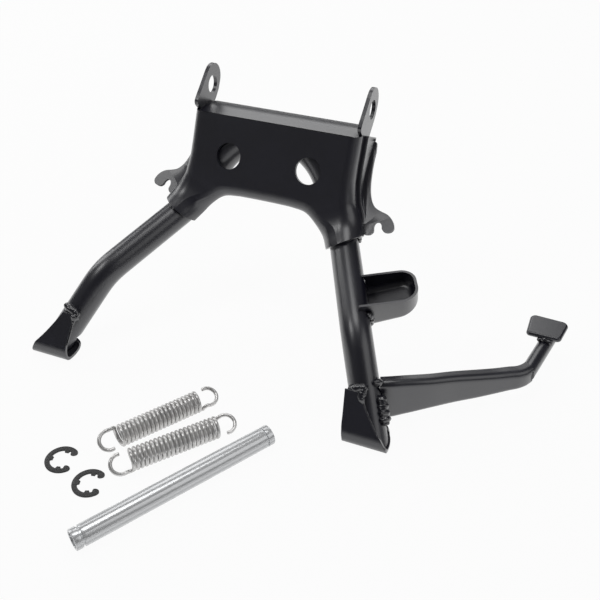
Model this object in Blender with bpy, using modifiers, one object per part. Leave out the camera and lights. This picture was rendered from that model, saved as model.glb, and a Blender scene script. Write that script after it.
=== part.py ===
"""Motorcycle centre stand with its pivot tube, retaining clips and return springs.

Metres, +Z up, +X towards the tread arm, +Y away from the viewer. The origin is the middle of the pivot axis.
"""
import math

import bmesh
import bpy
from mathutils import Matrix, Vector

MM = 0.001

# Sizes that can be changed
crown_width = 0.153
foot_spread = 0.323
stand_height = 0.1843
tube_diameter = 0.025
tube_wall = 0.002
crown_sheet = 0.0035
cap_sheet = 0.003
foot_sheet = 0.003
right_flap_lean = 0.005
left_flap_lean = -0.001
hook_sheet = 0.003
tongue_sheet = 0.003
arm_sheet = 0.003
pivot_diameter = 0.016
pivot_length = 0.162
pivot_wall = 0.002
panel_hole_diameter = 0.0227
rod_diameter = 0.0125
pad_thickness = 0.0035
spring_wire = 0.003
spring_diameter = 0.018
spring_coils = 20.5
clip_diameter = 0.026
clip_thickness = 0.0015

# Clearances
weld_gap = 0.0003
pivot_clearance = 0.0003
coil_gap = 0.0004
groove_clearance = 0.0003

tube_radius = tube_diameter / 2
sleeve_radius = tube_radius + weld_gap + crown_sheet
wide = crown_width / 0.153
half_shift = foot_spread / 2 - 0.1615
floor = -stand_height
lean = math.radians(26)
UP = Vector((0, math.sin(lean), math.cos(lean)))
BACK = Vector((0, math.cos(lean), -math.sin(lean)))
SIDE = Vector((1, 0, 0))
pivot_s = 58 * MM
pivot_d = 24.8 * MM


# Materials and collections

def material(name, colour, metallic, roughness):
    made = bpy.data.materials.new(name)
    made.use_nodes = True
    shader = made.node_tree.nodes["Principled BSDF"]
    shader.inputs["Base Color"].default_value = (*colour, 1)
    shader.inputs["Metallic"].default_value = metallic
    shader.inputs["Roughness"].default_value = roughness
    return made


def clear_scene():
    for old in list(bpy.data.objects):
        bpy.data.objects.remove(old, do_unlink=True)


def collection(name):
    made = bpy.data.collections.new(name)
    bpy.context.scene.collection.children.link(made)
    return made


def place(obj, mat=None):
    """Links a piece to the parts, or a cutter to the hidden cutters when it has no material."""
    if mat is None:
        cutters.objects.link(obj)
        obj.hide_render = True
        obj.display_type = "WIRE"
    else:
        parts.objects.link(obj)
        obj.data.materials.clear()
        obj.data.materials.append(mat)
    for face in obj.data.polygons:
        face.use_smooth = True
    return obj


# Points

def crown(x, s, d):
    """A point by its place on the leaning front panel: sideways, up the panel, behind its face (mm)."""
    return SIDE * (x * MM * wide) + UP * (s * MM - pivot_s) + BACK * (d * MM - pivot_d)


def panel(x, s, d):
    """The same in metres, with no stretching."""
    return SIDE * x + UP * (s - pivot_s) + BACK * (d - pivot_d)


def low(x, y, z):
    """A point near the feet: sideways, backwards and above the floor (mm)."""
    return Vector((x * MM + half_shift, (y - 199.2) * MM, floor + z * MM))


# Shapes

def closed_mesh(name, verts, faces, mat=None):
    """A solid from its faces, turned so that they look outwards."""
    mesh = bpy.data.meshes.new(name)
    mesh.from_pydata([tuple(v) for v in verts], [], faces)
    work = bmesh.new()
    work.from_mesh(mesh)
    bmesh.ops.remove_doubles(work, verts=work.verts, dist=1e-6)
    bmesh.ops.recalc_face_normals(work, faces=work.faces)
    if work.calc_volume(signed=True) < 0:
        bmesh.ops.reverse_faces(work, faces=work.faces)
    work.to_mesh(mesh)
    work.free()
    return place(bpy.data.objects.new(name, mesh), mat)


def ring_loft(name, rings, mat=None):
    """A solid through closed rings of equal count, with flat ends."""
    count = len(rings[0])
    verts = [v for ring in rings for v in ring]
    faces = []
    for i in range(len(rings) - 1):
        for j in range(count):
            a = i * count + j
            b = i * count + (j + 1) % count
            faces.append((a, b, b + count, a + count))
    faces.append(tuple(range(count)))
    faces.append(tuple(range(len(verts) - count, len(verts))))
    return closed_mesh(name, verts, faces, mat)


def sheet(name, rows, thickness, offset, mat=None):
    """A sheet through rows of equal count, thickened to one side (offset -1 or 1) or both (0)."""
    count = len(rows[0])
    verts = [tuple(v) for row in rows for v in row]
    faces = []
    for i in range(len(rows) - 1):
        for j in range(count - 1):
            a = i * count + j
            faces.append((a, a + 1, a + count + 1, a + count))
    mesh = bpy.data.meshes.new(name)
    mesh.from_pydata(verts, [], faces)
    obj = place(bpy.data.objects.new(name, mesh), mat)
    thicken(obj, thickness, offset)
    return obj


def thicken(obj, thickness, offset):
    solid = obj.modifiers.new("thickness", "SOLIDIFY")
    solid.thickness = thickness
    solid.offset = offset
    solid.use_even_offset = True
    solid.thickness_clamp = 0


def swept(name, points, radius, mat=None, sides=20, capped=True, radii=None, cyclic=False):
    """A round bar or tube along points."""
    data = bpy.data.curves.new(name, "CURVE")
    data.dimensions = "3D"
    data.bevel_depth = radius
    data.bevel_resolution = sides // 2 - 2
    data.use_fill_caps = capped
    line = data.splines.new("POLY")
    line.points.add(len(points) - 1)
    for i, point in enumerate(points):
        line.points[i].co = (*point, 1)
        line.points[i].radius = radii[i] if radii else 1
    line.use_cyclic_u = cyclic
    return as_mesh(name, data, mat)


def as_mesh(name, data, mat):
    helper = bpy.data.objects.new(name + "_line", data)
    bpy.context.scene.collection.objects.link(helper)
    bpy.context.view_layer.update()
    graph = bpy.context.evaluated_depsgraph_get()
    mesh = bpy.data.meshes.new_from_object(helper.evaluated_get(graph))
    bpy.data.objects.remove(helper, do_unlink=True)
    work = bmesh.new()
    work.from_mesh(mesh)
    bmesh.ops.remove_doubles(work, verts=work.verts, dist=1e-6)
    bmesh.ops.recalc_face_normals(work, faces=work.faces)
    work.to_mesh(mesh)
    work.free()
    return place(bpy.data.objects.new(name, mesh), mat)


def plate(name, outline, thickness, frame, mat=None, rounding=0.0, steps=0):
    """A flat plate from its outline (metres), centred on the plane of its frame."""
    data = bpy.data.curves.new(name, "CURVE")
    data.dimensions = "2D"
    data.fill_mode = "BOTH"
    data.extrude = thickness / 2 - rounding
    data.bevel_depth = rounding
    data.bevel_resolution = steps
    line = data.splines.new("POLY")
    line.points.add(len(outline) - 1)
    for i, point in enumerate(outline):
        line.points[i].co = (point[0], point[1], 0, 1)
    line.use_cyclic_u = True
    obj = as_mesh(name, data, mat)
    obj.data.transform(frame)
    if frame.determinant() < 0:
        obj.data.flip_normals()
    return obj


def frame_of(origin, x_axis, y_axis, z_axis):
    made = Matrix.Identity(4)
    for i, axis in enumerate((x_axis, y_axis, z_axis, origin)):
        for j in range(3):
            made[j][i] = axis[j]
    return made


def boolean(obj, other, operation):
    modifier = obj.modifiers.new(operation.lower(), "BOOLEAN")
    modifier.operation = operation
    modifier.solver = "EXACT"
    modifier.object = other
    return obj


def cut(obj, other):
    return boolean(obj, other, "DIFFERENCE")


def join(obj, other):
    return boolean(obj, other, "UNION")


def cylinder(name, radius, start, end, sides, mat=None):
    return swept(name, [start, end], radius, mat, sides)


def swing(first, second, part):
    """A vector a part of the way round from the first to the second, which are equally long."""
    angle = first.angle(second)
    if angle < 1e-6:
        return first.lerp(second, part)
    return (first * math.sin((1 - part) * angle) + second * math.sin(part * angle)) / math.sin(angle)


def fillet(before, corner, after, radius, steps):
    """Points of an arc of this radius, or less where there is no room, in place of a corner."""
    to_a = before - corner
    to_b = after - corner
    half = to_a.angle(to_b) / 2
    reach = min(radius / math.tan(half), 0.98 * to_a.length, 0.98 * to_b.length)
    radius = reach * math.tan(half)
    centre = corner + (to_a.normalized() + to_b.normalized()).normalized() * (radius / math.sin(half))
    arm_a = corner + to_a.normalized() * reach - centre
    arm_b = corner + to_b.normalized() * reach - centre
    found = []
    for i in range(steps + 1):
        found.append(centre + swing(arm_a, arm_b, i / steps))
    return found


def mirrored(points):
    return [Vector((-p.x, p.y, p.z)) for p in points]


def rounded(outline, radii, steps=4):
    """A closed outline with each corner turned to an arc."""
    found = []
    count = len(outline)
    for i in range(count):
        before = Vector((*outline[i - 1], 0))
        corner = Vector((*outline[i], 0))
        after = Vector((*outline[(i + 1) % count], 0))
        if radii[i] <= 0:
            found.append(outline[i])
            continue
        limit = 0.45 * min((before - corner).length, (after - corner).length)
        half = (before - corner).angle(after - corner) / 2
        for point in fillet(before, corner, after, min(radii[i], limit * math.tan(half)), steps):
            found.append((point.x, point.y))
    return found


clear_scene()
parts = collection("motorcycle_centre_stand")
cutters = collection("cutters")

satin_black = material("satin_black", (0.012, 0.012, 0.016), 0.0, 0.32)
weld_black = material("weld_black", (0.01, 0.01, 0.012), 0.0, 0.25)
bright_zinc = material("bright_zinc", (0.72, 0.75, 0.8), 1.0, 0.28)
spring_steel = material("spring_zinc", (0.8, 0.81, 0.83), 1.0, 0.22)
clip_steel = material("clip_steel", (0.12, 0.12, 0.125), 0.9, 0.4)


# Leg hoop

tube_depth = crown_sheet + weld_gap + tube_radius
arch_top = 34.9 * MM - tube_radius
corner_x = 35.2 * MM * wide
bend_at = panel(71.5 * MM * wide, -46 * MM, tube_depth)
shoulder = panel(corner_x, arch_top, tube_depth)
shoulder_left = panel(-corner_x, arch_top, tube_depth)
kink = low(115.7, 57.3, 60.2)
kink.x -= half_shift * 0.5
shin_end = low(138.0, 23.6, 17.8)
leg_end = shin_end + (shin_end - kink).normalized() * (17 * MM)
arch = fillet(shoulder_left, shoulder, bend_at, 58 * MM, 9)
forward_bend = fillet(arch[-1], bend_at, kink, 55 * MM, 6)
knee = fillet(forward_bend[-1], kink, leg_end, 50 * MM, 4)
half_path = arch + forward_bend + knee + [leg_end]
hoop_path = mirrored(half_path)[::-1] + half_path
thigh = (kink - bend_at).normalized()
shin = (leg_end - kink).normalized()

leg_tube = swept("leg_tube", hoop_path, tube_radius, satin_black, 20, capped=False)
thicken(leg_tube, tube_wall, -1)
fat_path = [half_path[-1] + shin * weld_gap]
fat_half = half_path + fat_path
fat_tube = swept("fat_tube", mirrored(fat_half)[::-1] + fat_half, tube_radius + weld_gap, None, 24)


# Crown shell

def bend_frame(part):
    """Tube axis point and its sideways and forward directions, a part of the way round the forward bend."""
    place_on = part * 6
    index = min(int(place_on), 5)
    point = forward_bend[index].lerp(forward_bend[index + 1], place_on - index)
    start = (bend_at - forward_bend[0]).normalized()
    along = swing(start, thigh, part)
    across = along.cross(BACK).normalized()
    if across.x < 0:
        across = -across
    forward = along.cross(across).normalized()
    if forward.dot(BACK) > 0:
        forward = -forward
    return point, along, across, forward


def turned(centre, first, second, radius, angles):
    return [centre + (first * math.cos(a) + second * math.sin(a)) * radius for a in angles]


def hook_depth(s):
    """Depth of the hook plane behind the panel face at this height up the panel (mm)."""
    return 28.3 + 0.33 * s


rad = math.radians
arc_steps = [rad(a) for a in (0, 15, 30, 45, 60, 75, 90)]
lip_steps = [rad(a) for a in (20, 40, 60, 82)]
flat_steps = 5

# Rows down the crown, flat ones first: inner point, outer wall point, tilt of the row, corner radius (mm)
flat_rows = (
    ((0, 33), (76.5, 33), 0, 9.5),
    ((0, 26), (76.5, 29), 0, 9.5),
    ((0, 17), (76.5, 25), 0, 9.5),
    ((0, 7), (76.5, 20), 0, 9.5),
    ((0, -4), (76.5, 14.5), 0, 9.5),
    ((0, -15), (76.5, 8.5), 0, 9.5),
    ((0, -25.4), (76.7, 2.5), 4, 9.8),
    ((14, -25.5), (77.0, -3.5), 9, 10.2),
    ((27.6, -26), (77.8, -9.5), 15, 10.8),
    ((40.6, -27.7), (79.0, -15.5), 22, 11.6),
)
# Rows round the leg: part of the bend, room beyond the sleeve inside and outside, lip and corner radii, lip swing
sleeve_rows = (
    (0.05, 4.2, 3.2, 10.0, 12.6, 23),
    (0.29, 1.7, 2.6, 12.0, 14.0, 9),
    (0.52, 0.5, 1.5, None, 15.3, 0),
    (0.82, 0.0, 0.0, None, None, 0),
)
lip_normals = {6: (0, -1, 8.0), 7: (-0.03, -1, 8.0), 8: (-0.1, -0.995, 8.0), 9: (-0.3, -0.954, 8.5)}

# Each row keeps its points, and its wall: where the wall starts, its sideways and backward directions, its length
shell_rows = []
walls = []
lips = []
for index, (inner, outer, tilt, radius) in enumerate(flat_rows):
    across = SIDE * math.cos(rad(tilt)) + UP * math.sin(rad(tilt))
    wall = crown(outer[0], outer[1], radius)
    start = wall - across * (radius * MM)
    centre = start
    begin = crown(inner[0], inner[1], 0)
    front = centre - BACK * (radius * MM)
    row = [begin.lerp(front, i / flat_steps) for i in range(flat_steps)]
    arc = turned(centre, -BACK, across, radius * MM, arc_steps)
    if index == 0:
        arc = [p + UP * (3.0 * MM * (i / 6) ** 2) for i, p in enumerate(arc)]
        wall = arc[-1]
    depth = (hook_depth(outer[1]) + 1.0) * MM - radius * MM
    row += arc
    row += [wall + BACK * (depth * part) for part in (0.33, 0.66, 1.0)]
    shell_rows.append(row)
    walls.append((wall, across, BACK, depth))
    if index in lip_normals:
        nx, ns, lip = lip_normals[index]
        normal = (SIDE * nx + UP * ns).normalized()
        lips.append([begin] + turned(begin + BACK * (lip * MM), -BACK, normal, lip * MM, lip_steps))
    last_depth = depth
for part, room_in, room_out, lip, radius, sway in sleeve_rows:
    centre, along, across, forward = bend_frame(part)
    outside = sleeve_radius + room_out * MM
    inside = sleeve_radius + room_in * MM
    radius = sleeve_radius if radius is None else radius * MM * sleeve_radius / (16.3 * MM)
    lip = inside - 2.0 * MM if lip is None and room_in > 0 else lip
    lip = sleeve_radius if lip is None else (lip if lip < 1 else lip * MM * sleeve_radius / (16.3 * MM))
    normal = (along * math.sin(rad(sway)) - across * math.cos(rad(sway))).normalized()
    begin = centre + forward * sleeve_radius - across * ((inside - lip) * math.cos(rad(sway)))
    begin += along * ((inside - lip) * math.sin(rad(sway)) * 0.5)
    front = centre + forward * sleeve_radius + across * (outside - radius)
    if (front - begin).dot(across) < 1.0 * MM:
        middle = (front + begin) / 2
        begin = middle - across * (0.5 * MM)
        front = middle + across * (0.5 * MM)
    row = [begin.lerp(front, i / flat_steps) for i in range(flat_steps)]
    row += turned(front - forward * radius, forward, across, radius, arc_steps)
    wall = row[-1]
    last_depth = max(1.5 * MM, (8.5 - 9.0 * part) * MM)
    row += [wall - forward * (last_depth * part_way) for part_way in (0.33, 0.66, 1.0)]
    shell_rows.append(row)
    walls.append((wall, across, -forward, last_depth))
    lips.append([begin] + turned(begin - forward * lip, forward, normal, lip, lip_steps))

columns = len(shell_rows[0])
shell_verts = [v for row in shell_rows for v in row]
shell_faces = []
for i in range(len(shell_rows) - 1):
    for j in range(columns - 1):
        a = i * columns + j
        shell_faces.append((a, a + columns, a + columns + 1, a + 1))
lip_base = len(shell_verts)
lip_columns = len(lips[0])
shell_verts += [v for row in lips for v in row]
for i in range(len(lips) - 1):
    for j in range(lip_columns - 1):
        a = lip_base + i * lip_columns + j
        shell_faces.append((a, a + 1, a + lip_columns + 1, a + lip_columns))
shell_mesh = bpy.data.meshes.new("crown_shell")
shell_mesh.from_pydata([tuple(v) for v in shell_verts], [], shell_faces)
work = bmesh.new()
work.from_mesh(shell_mesh)
bmesh.ops.remove_doubles(work, verts=work.verts, dist=2e-5)
bmesh.ops.recalc_face_normals(work, faces=work.faces)
facing = sum(face.normal.dot(BACK) * face.calc_area() for face in work.faces)
if facing > 0:
    bmesh.ops.reverse_faces(work, faces=work.faces)
work.to_mesh(shell_mesh)
work.free()
crown_shell = place(bpy.data.objects.new("crown_shell", shell_mesh), satin_black)
mirror = crown_shell.modifiers.new("both_sides", "MIRROR")
mirror.use_axis[0] = True
mirror.merge_threshold = 0.0001
thicken(crown_shell, crown_sheet, -1)

ear_outer = crown_width / 2 - 0.1 * MM
ear_thickness = crown_sheet - 0.2 * MM
ear_middle = ear_outer - ear_thickness / 2
ear_outline = [(9.8, 30), (9.2, 35.0), (4.6, 36.8), (1.6, 38.6), (0.4, 41), (1.6, 45), (5, 52), (9.4, 61.5), (12.0, 67.2)]
for a in (150, 136, 120, 104, 88, 72, 56, 40, 24, 8, -6):
    ear_outline.append((25 + 13.4 * math.cos(rad(a)), 63 + 13.4 * math.sin(rad(a))))
ear_outline += [(37.9, 55.5), (36.0, 49.5), (33.4, 44), (30.9, 39), (29.4, 35), (28.8, 30)]
ear_points = [(d * MM - pivot_d, s * MM - pivot_s) for d, s in ear_outline]
pivot_hole = pivot_diameter + pivot_clearance
for side, word in ((1, "right"), (-1, "left")):
    ear_frame = frame_of(Vector((side * ear_middle, 0, 0)), BACK, UP, SIDE)
    join(crown_shell, plate("ear_" + word, ear_points, ear_thickness, ear_frame))
for side, word in ((1, "right"), (-1, "left")):
    hole_at = Vector((side * ear_middle, 0, 0))
    reach = SIDE * (5 * MM)
    cut(crown_shell, cylinder("ear_bore_" + word, pivot_hole / 2, hole_at - reach, hole_at + reach, 32))
    panel_hole_at = crown(side * 37, -0.5, 0)
    cut(
        crown_shell,
        cylinder(
            "panel_bore_" + word,
            panel_hole_diameter / 2,
            panel_hole_at - BACK * (3 * MM),
            panel_hole_at + BACK * (7 * MM),
            36,
        ),
    )


# Crown back plate

back_depth = tube_depth + tube_radius + 6.0 * MM
cap_profile = [(4.4, 33.6), (9.5, 36.0), (16, 38.9), (22, 41.0), (26, 42.0)]
cap_rows_d = [d * MM for d, s in cap_profile]
cap_rows_s = [s * MM for d, s in cap_profile]
for a in (60, 40, 20, 0):
    cap_rows_d.append(back_depth - 6 * MM + 6 * MM * math.cos(rad(a)))
    cap_rows_s.append(37.5 * MM + 6 * MM * math.sin(rad(a)))
for s in (34, 28, 22):
    cap_rows_d.append(back_depth)
    cap_rows_s.append(s * MM)
cap_across = []
for part, drop in ((0.0, 0.0), (0.3, 0.0), (0.6, 0.0), (0.9, 0.0), (0.95, 0.2), (0.98, 0.9), (1.0, 2.4)):
    cap_across.append((part, drop * MM))
cap_rows = []
for d, s in zip(cap_rows_d, cap_rows_s):
    fade = min(max((d - 4.4 * MM) / (6 * MM), 0), 1) * min(max((s - 21 * MM) / (14 * MM), 0.1), 1)
    row = []
    cap_half = (65.6 * MM + 5.0 * MM * min((d - 4.4 * MM) / (5 * MM), 1)) * wide
    for part, drop in cap_across[:0:-1]:
        row.append(panel(-cap_half * part, s - drop * fade, d))
    for part, drop in cap_across:
        row.append(panel(cap_half * part, s - drop * fade, d))
    cap_rows.append(row)
crown_back_plate = sheet("crown_back_plate", cap_rows, cap_sheet, 0, satin_black)


# Hook plates

def wall_solid(name, sign, inner, outer, fronts, backs, rows, mat=None):
    """A solid lying along the side wall, between two distances from its outer face."""
    rings = []
    for (wall, across, back, depth), front, rear in zip(walls[rows[0]:rows[1]], fronts, backs):
        ring = [
            wall + across * inner + back * front,
            wall + across * outer + back * front,
            wall + across * outer + back * (depth + rear),
            wall + across * inner + back * (depth + rear),
        ]
        rings.append(mirrored(ring) if sign < 0 else ring)
    return ring_loft(name, rings, mat)


hook_origin = panel(0, 0, hook_depth(0) * MM)
hook_along = (panel(0, 30 * MM, hook_depth(30) * MM) - hook_origin).normalized()
hook_normal = SIDE.cross(hook_along).normalized()
if hook_normal.dot(BACK) < 0:
    hook_normal = -hook_normal
stretch = math.hypot(1, 0.33)
hook_outline = [
    (72.5, 33), (79.0, 33), (81.6, 31.8), (82.2, 29.5), (83.2, 15), (84.4, 4), (86.0, -5), (88.2, -12.0), (90.8, -17),
    (95.0, -21.3), (100.5, -23.4), (106.5, -25.0), (111.5, -28.4), (114.2, -32.4), (114.9, -35.6), (113.6, -38.0),
    (110.4, -39.4), (107.2, -39.2), (105.0, -37.4), (104.0, -34.6), (101.4, -32.4), (98.8, -33.2), (97.8, -36.0),
    (98.4, -41.0), (96.6, -43.4), (92.5, -44.6), (87, -44.6), (80.5, -30), (76.5, -20), (73.5, -8), (72.5, 5),
]
edge_shift = crown_width / 2 - 76.5 * MM
for sign, word in ((1, "right"), (-1, "left")):
    outline = [(sign * (x * MM + edge_shift), s * MM * stretch) for x, s in hook_outline]
    if sign < 0:
        outline = outline[::-1]
    flange_frame = frame_of(hook_origin + hook_normal * (hook_sheet / 2), SIDE, hook_along, hook_normal)
    flange = plate("flange_" + word, outline, hook_sheet, flange_frame)
    far_in = -9 * MM
    fat_wall = wall_solid(
        "fat_wall_" + word, sign, far_in, weld_gap, [-9 * MM] * 14, [14 * MM] * 14, (0, 14)
    )
    cut(flange, fat_wall)
    band_fronts = [(15.5 - 9.5) * MM] * 6 + [5.6 * MM, 5.0 * MM, 4.2 * MM, 3.4 * MM, 2.4 * MM, 1.6 * MM, 0.9 * MM]
    band = wall_solid(
        "hook_plate_" + word,
        sign,
        weld_gap + 0.05 * MM,
        weld_gap + hook_sheet,
        band_fronts,
        [0.6 * MM] * 13,
        (0, 13),
        satin_black,
    )
    join(band, flange)
    cut(band, fat_tube)


# Foot plates

foot_up = shin.cross(SIDE).normalized()
if foot_up.z < 0:
    foot_up = -foot_up
foot_down = SIDE.cross(foot_up).normalized()
if foot_down.z > 0:
    foot_down = -foot_down
axis_here = kink.lerp(shin_end, 0.755)
flap_start = axis_here + foot_up * (tube_radius + weld_gap + foot_sheet)
foot_rows = []
foot_edges = []
for along, inner, outer in ((0, 124.8, 136.0), (10, 125.4, 142.0), (20, 126.0, 148.5), (28, 126.2, 154.5), (31, 126.0, 157.0)):
    foot_rows.append(flap_start + foot_down * (along * MM))
    foot_edges.append((inner, outer))
curl_y = (foot_rows[-1].y + 0.1992) / MM
curl = (
    (-1.6, 9.8, 125.8, 159.2), (-2.2, 6.4, 125.6, 160.6), (-1.2, 3.2, 125.6, 161.3), (1.6, 0.9, 125.6, 161.5),
    (6.0, 0.0, 125.6, 161.5), (14.0, 0.0, 125.8, 160.4), (19.0, 1.2, 126.2, 158.6), (22.2, 4.0, 127.2, 157.0),
    (22.8, 7.2, 129.5, 155.4), (21.8, 10.0, 134.0, 152.5),
)
for y, z, inner, outer in curl:
    point = low(0, y + curl_y - 0.1, z)
    foot_rows.append(point)
    foot_edges.append((inner, outer))
curl_inside = []
for i in range(4, len(foot_rows)):
    before = foot_rows[i - 1]
    after = foot_rows[min(i + 1, len(foot_rows) - 1)]
    going = (after - before).normalized()
    inward = Vector((0, -going.z, going.y)) * (foot_sheet + 1.5 * weld_gap)
    curl_inside.append((foot_rows[i].y + inward.y, foot_rows[i].z + inward.z))
over_curl = foot_rows[-1].z + 2.5 * MM
under = floor - 40 * MM
curl_outline = [(-0.3, under), (-0.3, curl_inside[0][1])] + curl_inside
curl_outline += [(curl_inside[-1][0], over_curl), (-0.1, over_curl), (-0.1, under)]
curl_frame = frame_of(Vector((0, 0, 0)), Vector((0, 1, 0)), Vector((0, 0, 1)), SIDE)
curl_room = plate("curl_room", curl_outline, 0.6, curl_frame)
cut(leg_tube, curl_room)
for sign, word, lean in ((1, "right", right_flap_lean), (-1, "left", left_flap_lean)):
    rows = []
    for i, (point, (inner, outer)) in enumerate(zip(foot_rows, foot_edges)):
        row = []
        for part in (0, 0.5, 1):
            x = (inner + (outer - inner) * part) * MM + half_shift - lean * max(0, 1 - i / 6)
            row.append(Vector((sign * x, point.y, point.z)))
        rows.append(row)
    foot = sheet("foot_plate_" + word, rows, foot_sheet, 1 if sign > 0 else -1, satin_black)


# Stop tongue

tongue_at = bend_at.lerp(kink, 0.665)
tongue_out = Vector((0.89, 0.456, 0)).normalized()
tongue_out = (tongue_out - thigh * tongue_out.dot(thigh)).normalized()
tongue_up = thigh.cross(tongue_out).normalized()
tongue_lift = math.radians(12)
tongue_out, tongue_up = (
    tongue_out * math.cos(tongue_lift) + tongue_up * math.sin(tongue_lift),
    tongue_up * math.cos(tongue_lift) - tongue_out * math.sin(tongue_lift),
)
tongue_length = 37.5 * MM
tongue_half = 17 * MM
tongue_height = 21 * MM
tongue_tilt = 0.25
tongue_begin = 2 * MM
tongue_end = tube_radius + tongue_length


def tongue_outline(inset):
    reach = tongue_end - inset
    half = tongue_half - inset
    corners = [(tongue_begin, -half), (reach, -half), (reach, half), (tongue_begin, half)]
    return rounded(corners, [0, 15.5 * MM - inset, 12.5 * MM - inset, 0], 6)


tongue_frame = frame_of(tongue_at, tongue_out, -thigh, tongue_up)
tongue_round = 7 * MM
tongue_block = plate(
    "stop_tongue",
    tongue_outline(tongue_round),
    2 * tongue_height,
    frame_of(tongue_at + tongue_up * (tongue_height / 2), tongue_out, -thigh, tongue_up),
    satin_black,
    tongue_round,
    3,
)
pocket_round = tongue_round - tongue_sheet
tongue_pocket = plate(
    "tongue_pocket",
    tongue_outline(tongue_sheet + pocket_round),
    2 * tongue_height - 2 * tongue_sheet,
    frame_of(tongue_at + tongue_up * (tongue_height / 2), tongue_out, -thigh, tongue_up),
    None,
    pocket_round,
    3,
)
cut(tongue_block, tongue_pocket)
trim_outline = [(-40 * MM, -60 * MM), (90 * MM, -60 * MM), (90 * MM, 60 * MM), (-40 * MM, 60 * MM)]
trim_height = 60 * MM
trim_up = (tongue_up - thigh * tongue_tilt).normalized()
trim_along = (thigh + tongue_up * tongue_tilt).normalized()
trim_at = tongue_at + tongue_up * (tongue_height / 2 + 0.25 * MM) + trim_up * (trim_height / 2)
tongue_trim = plate(
    "tongue_trim",
    trim_outline,
    trim_height,
    frame_of(trim_at, tongue_out, -trim_along, trim_up),
)
cut(tongue_block, tongue_trim)
root_trim = plate(
    "tongue_root_trim",
    [(-60 * MM, -60 * MM), (4.5 * MM, -60 * MM), (4.5 * MM, 60 * MM), (-60 * MM, 60 * MM)],
    120 * MM,
    tongue_frame,
)
cut(tongue_block, root_trim)
cut(tongue_block, fat_tube)


# Tread arm, rod and pad

arm_stations = (
    (144.5, 31.5, 2.0, 40.0, 9), (149, 33, 2.0, 40.5, 9), (165, 41.6, 4.5, 40.2, 9), (180, 51, 7.0, 38.6, 9.2),
    (198, 65, 7.6, 35.6, 9.4), (215, 77, 8.2, 32.8, 9.6), (228, 86, 9.4, 31.0, 9.8), (237, 92.0, 10.6, 30.4, 10),
    (243.2, 96.0, 11.2, 30.0, 10), (248.2, 101.0, 11.6, 29.9, 10), (251.6, 106.5, 12.0, 29.9, 10),
)
arm_corner = 5 * MM
arm_rows = []
for index, (x, y, bottom, top, deep) in enumerate(arm_stations):
    before = arm_stations[max(index - 1, 0)]
    after = arm_stations[min(index + 1, len(arm_stations) - 1)]
    going = Vector((after[0] - before[0], after[1] - before[1], 0)).normalized()
    backwards = Vector((-going.y, going.x, 0))
    here = low(x, y, 0)
    high = Vector((0, 0, 1))
    r = arm_corner
    row = [here + backwards * (deep * MM) + high * (top * MM)]
    row += turned(here + backwards * r + high * (top * MM - r), high, -backwards, r, [rad(a) for a in (0, 30, 60, 90)])
    row += turned(here + backwards * r + high * (bottom * MM + r), -backwards, -high, r, [rad(a) for a in (0, 30, 60, 90)])
    row.append(here + backwards * (deep * MM) + high * (bottom * MM))
    arm_rows.append(row)
tread_arm = sheet("tread_arm", arm_rows, arm_sheet, -1, satin_black)

rod_radius = rod_diameter / 2
rod_start = low(244.4, 106, 22)
rod_end = low(251.4, 158, 22)
rod_along = (rod_end - rod_start).normalized()
tread_rod = cylinder("tread_rod", rod_radius, rod_start, rod_end, 20, satin_black)
fat_rod = cylinder("fat_rod", rod_radius + weld_gap, rod_start - rod_along * weld_gap, rod_end, 24)
cut(tread_arm, fat_tube)
cut(tread_arm, fat_rod)

pad_profile = [
    (238.6, -4.5, 5.0), (238.9, -2.6, 3.0), (240.2, -0.9, 1.5), (242.8, 0.0, 0.5), (246, 0.2, 0.0), (253.5, 0.2, 0.0),
    (260, 0.2, 0.3), (265.6, 0.0, 1.5), (268.8, -0.9, 3.6), (270.2, -2.6, 5.8), (270.5, -4.5, 7.6),
]
pad_level = 22 + rod_radius / MM + weld_gap / MM + pad_thickness / MM
pad_rows = []
for x, drop, inset in pad_profile:
    slant = (x - 237) / 33 * 1.2
    pad_rows.append([low(x, y, pad_level + drop) for y in (146.0 + inset - slant, 159, 173.2 - inset - slant)])
tread_pad = sheet("tread_pad", pad_rows, pad_thickness, 1, satin_black)


# Pivot tube, clips and springs, lying on the floor

def lathe(name, profile, origin, along, mat, steps):
    """A turned piece: the profile holds distances along the axis and from it."""
    mesh = bpy.data.meshes.new(name)
    points = [(r, 0, a) for a, r in profile]
    edges = [(i, (i + 1) % len(points)) for i in range(len(points))]
    mesh.from_pydata(points, edges, [])
    obj = place(bpy.data.objects.new(name, mesh), mat)
    screw = obj.modifiers.new("turn", "SCREW")
    screw.steps = steps
    screw.render_steps = steps
    screw.use_merge_vertices = True
    screw.merge_threshold = 1e-6
    obj.matrix_world = origin @ along.to_track_quat("Z", "Y").to_matrix().to_4x4()
    return obj


pivot_radius = pivot_diameter / 2
groove_depth = 1.0 * MM
groove_width = clip_thickness + groove_clearance
groove_at = 5 * MM
tube_near = low(-11.0, -158.3, 0)
tube_far = low(73.4, -20.1, 0)
tube_near.x -= half_shift
tube_far.x -= half_shift
tube_near.z = floor + pivot_radius
tube_far.z = floor + pivot_radius
pivot_along = (tube_far - tube_near).normalized()
pivot_middle = (tube_far + tube_near) / 2
half = pivot_length / 2
bore = pivot_radius - pivot_wall
pivot_profile = [
    (-half, bore), (-half, pivot_radius - 0.5 * MM), (-half + 0.5 * MM, pivot_radius),
    (-half + groove_at, pivot_radius), (-half + groove_at, pivot_radius - groove_depth),
    (-half + groove_at + groove_width, pivot_radius - groove_depth), (-half + groove_at + groove_width, pivot_radius),
    (half - groove_at - groove_width, pivot_radius), (half - groove_at - groove_width, pivot_radius - groove_depth),
    (half - groove_at, pivot_radius - groove_depth), (half - groove_at, pivot_radius),
    (half - 0.5 * MM, pivot_radius), (half, pivot_radius - 0.5 * MM), (half, bore),
][::-1]
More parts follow.
